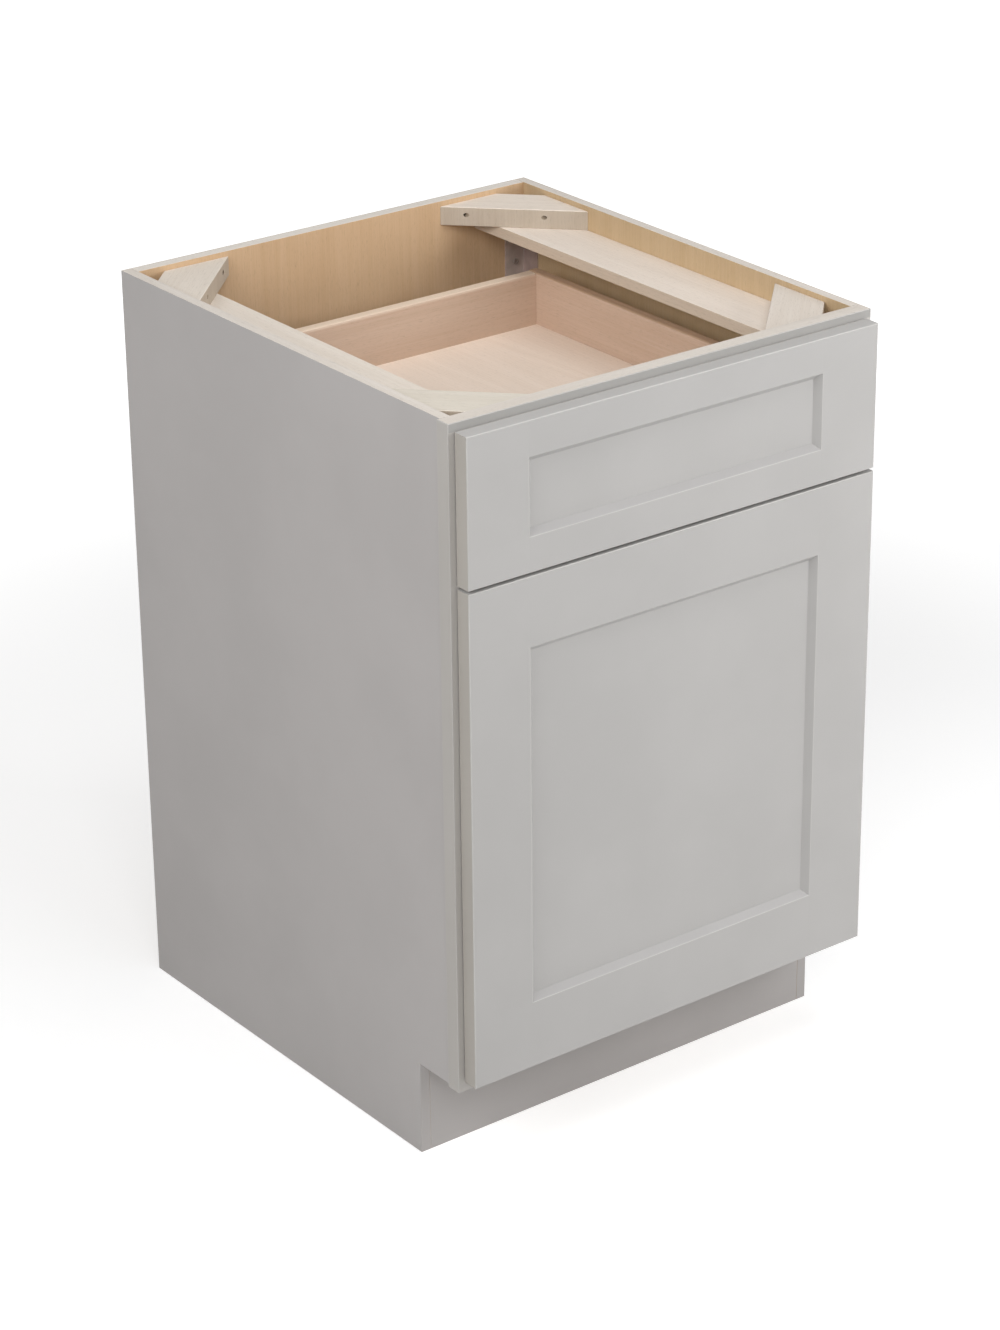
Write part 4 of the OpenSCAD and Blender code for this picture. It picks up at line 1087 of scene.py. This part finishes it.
# Bumpers
# Small domed discs of clear soft plastic stuck to the backs of both fronts.
bumper_d = 0.009
bumper_dome = 0.0008
bumper_soft = moulded("bumper_soft", (222, 222, 216), 0.30, 0.002, 0.00002)
for node, front, body in (
    ("drawer_bumpers", "drawer_front", "drawer"), ("door_bumpers", "door", "pull_out"),
):
    low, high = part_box(node)
    discs = []
    for x in (low.x + bumper_d / 2, high.x - bumper_d / 2):
        for z in (low.z + bumper_d / 2, high.z - bumper_d / 2):
            bpy.ops.mesh.primitive_cylinder_add(
                vertices=24, radius=bumper_d / 2, depth=high.y - low.y,
                location=(x, (low.y + high.y) / 2, z), rotation=(math.pi / 2, 0, 0),
            )
            bpy.ops.object.transform_apply(location=True, rotation=True, scale=True)
            discs.append(bpy.context.object)
    discs[0].name = discs[0].data.name = node + "_piece"
    join(*discs)
    round_edges(discs[0], lambda place, way: place.y > high.y - hair, bumper_dome, 3)
    smooth(discs[0])
    coat(discs[0], [bumper_soft])
    settle(discs[0], body, "bumper_rubber", node)


# Screws, rollers, balls and catches
# Bought hardware that keeps its modelled shape and gets its finish: plated or dark screws,
# pale rollers, polished balls, grey catches and their orange levers.
screw_dark = steel("screw_dark", (96, 90, 84), 2, 0.38)
screw_grey = steel("screw_grey", (176, 164, 155), 2, 0.45, 0.3)
screw_yellow = steel("screw_yellow", (148, 130, 110), 2, 0.45, 0.5)
screw_bright = steel("screw_bright", (186, 188, 190), 2, 0.30)
ball_bright = steel("ball_bright", (214, 215, 217), 0, 0.12)
roller_plastic = moulded("roller_plastic", (214, 214, 208), 0.35, 0.0006, 0.00002)
catch_plastic = moulded("catch_plastic", (126, 128, 130), 0.45, 0.0007, 0.00004)
lever_plastic = moulded("lever_plastic", (216, 112, 40), 0.42, 0.0007, 0.00004)
for node, finish in (
    ("brace_screws", screw_yellow), ("drawer_slide_screws", screw_grey),
    ("bin_slide_screws", screw_bright), ("drawer_screws", screw_bright),
    ("runner_screws", screw_bright), ("carrier_screws", screw_dark),
    ("drawer_slide_rollers", roller_plastic), ("bin_slide_balls", ball_bright),
    ("front_catches", catch_plastic), ("left_release_lever", lever_plastic),
    ("right_release_lever", lever_plastic),
):
    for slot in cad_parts[node].material_slots:
        slot.material = finish
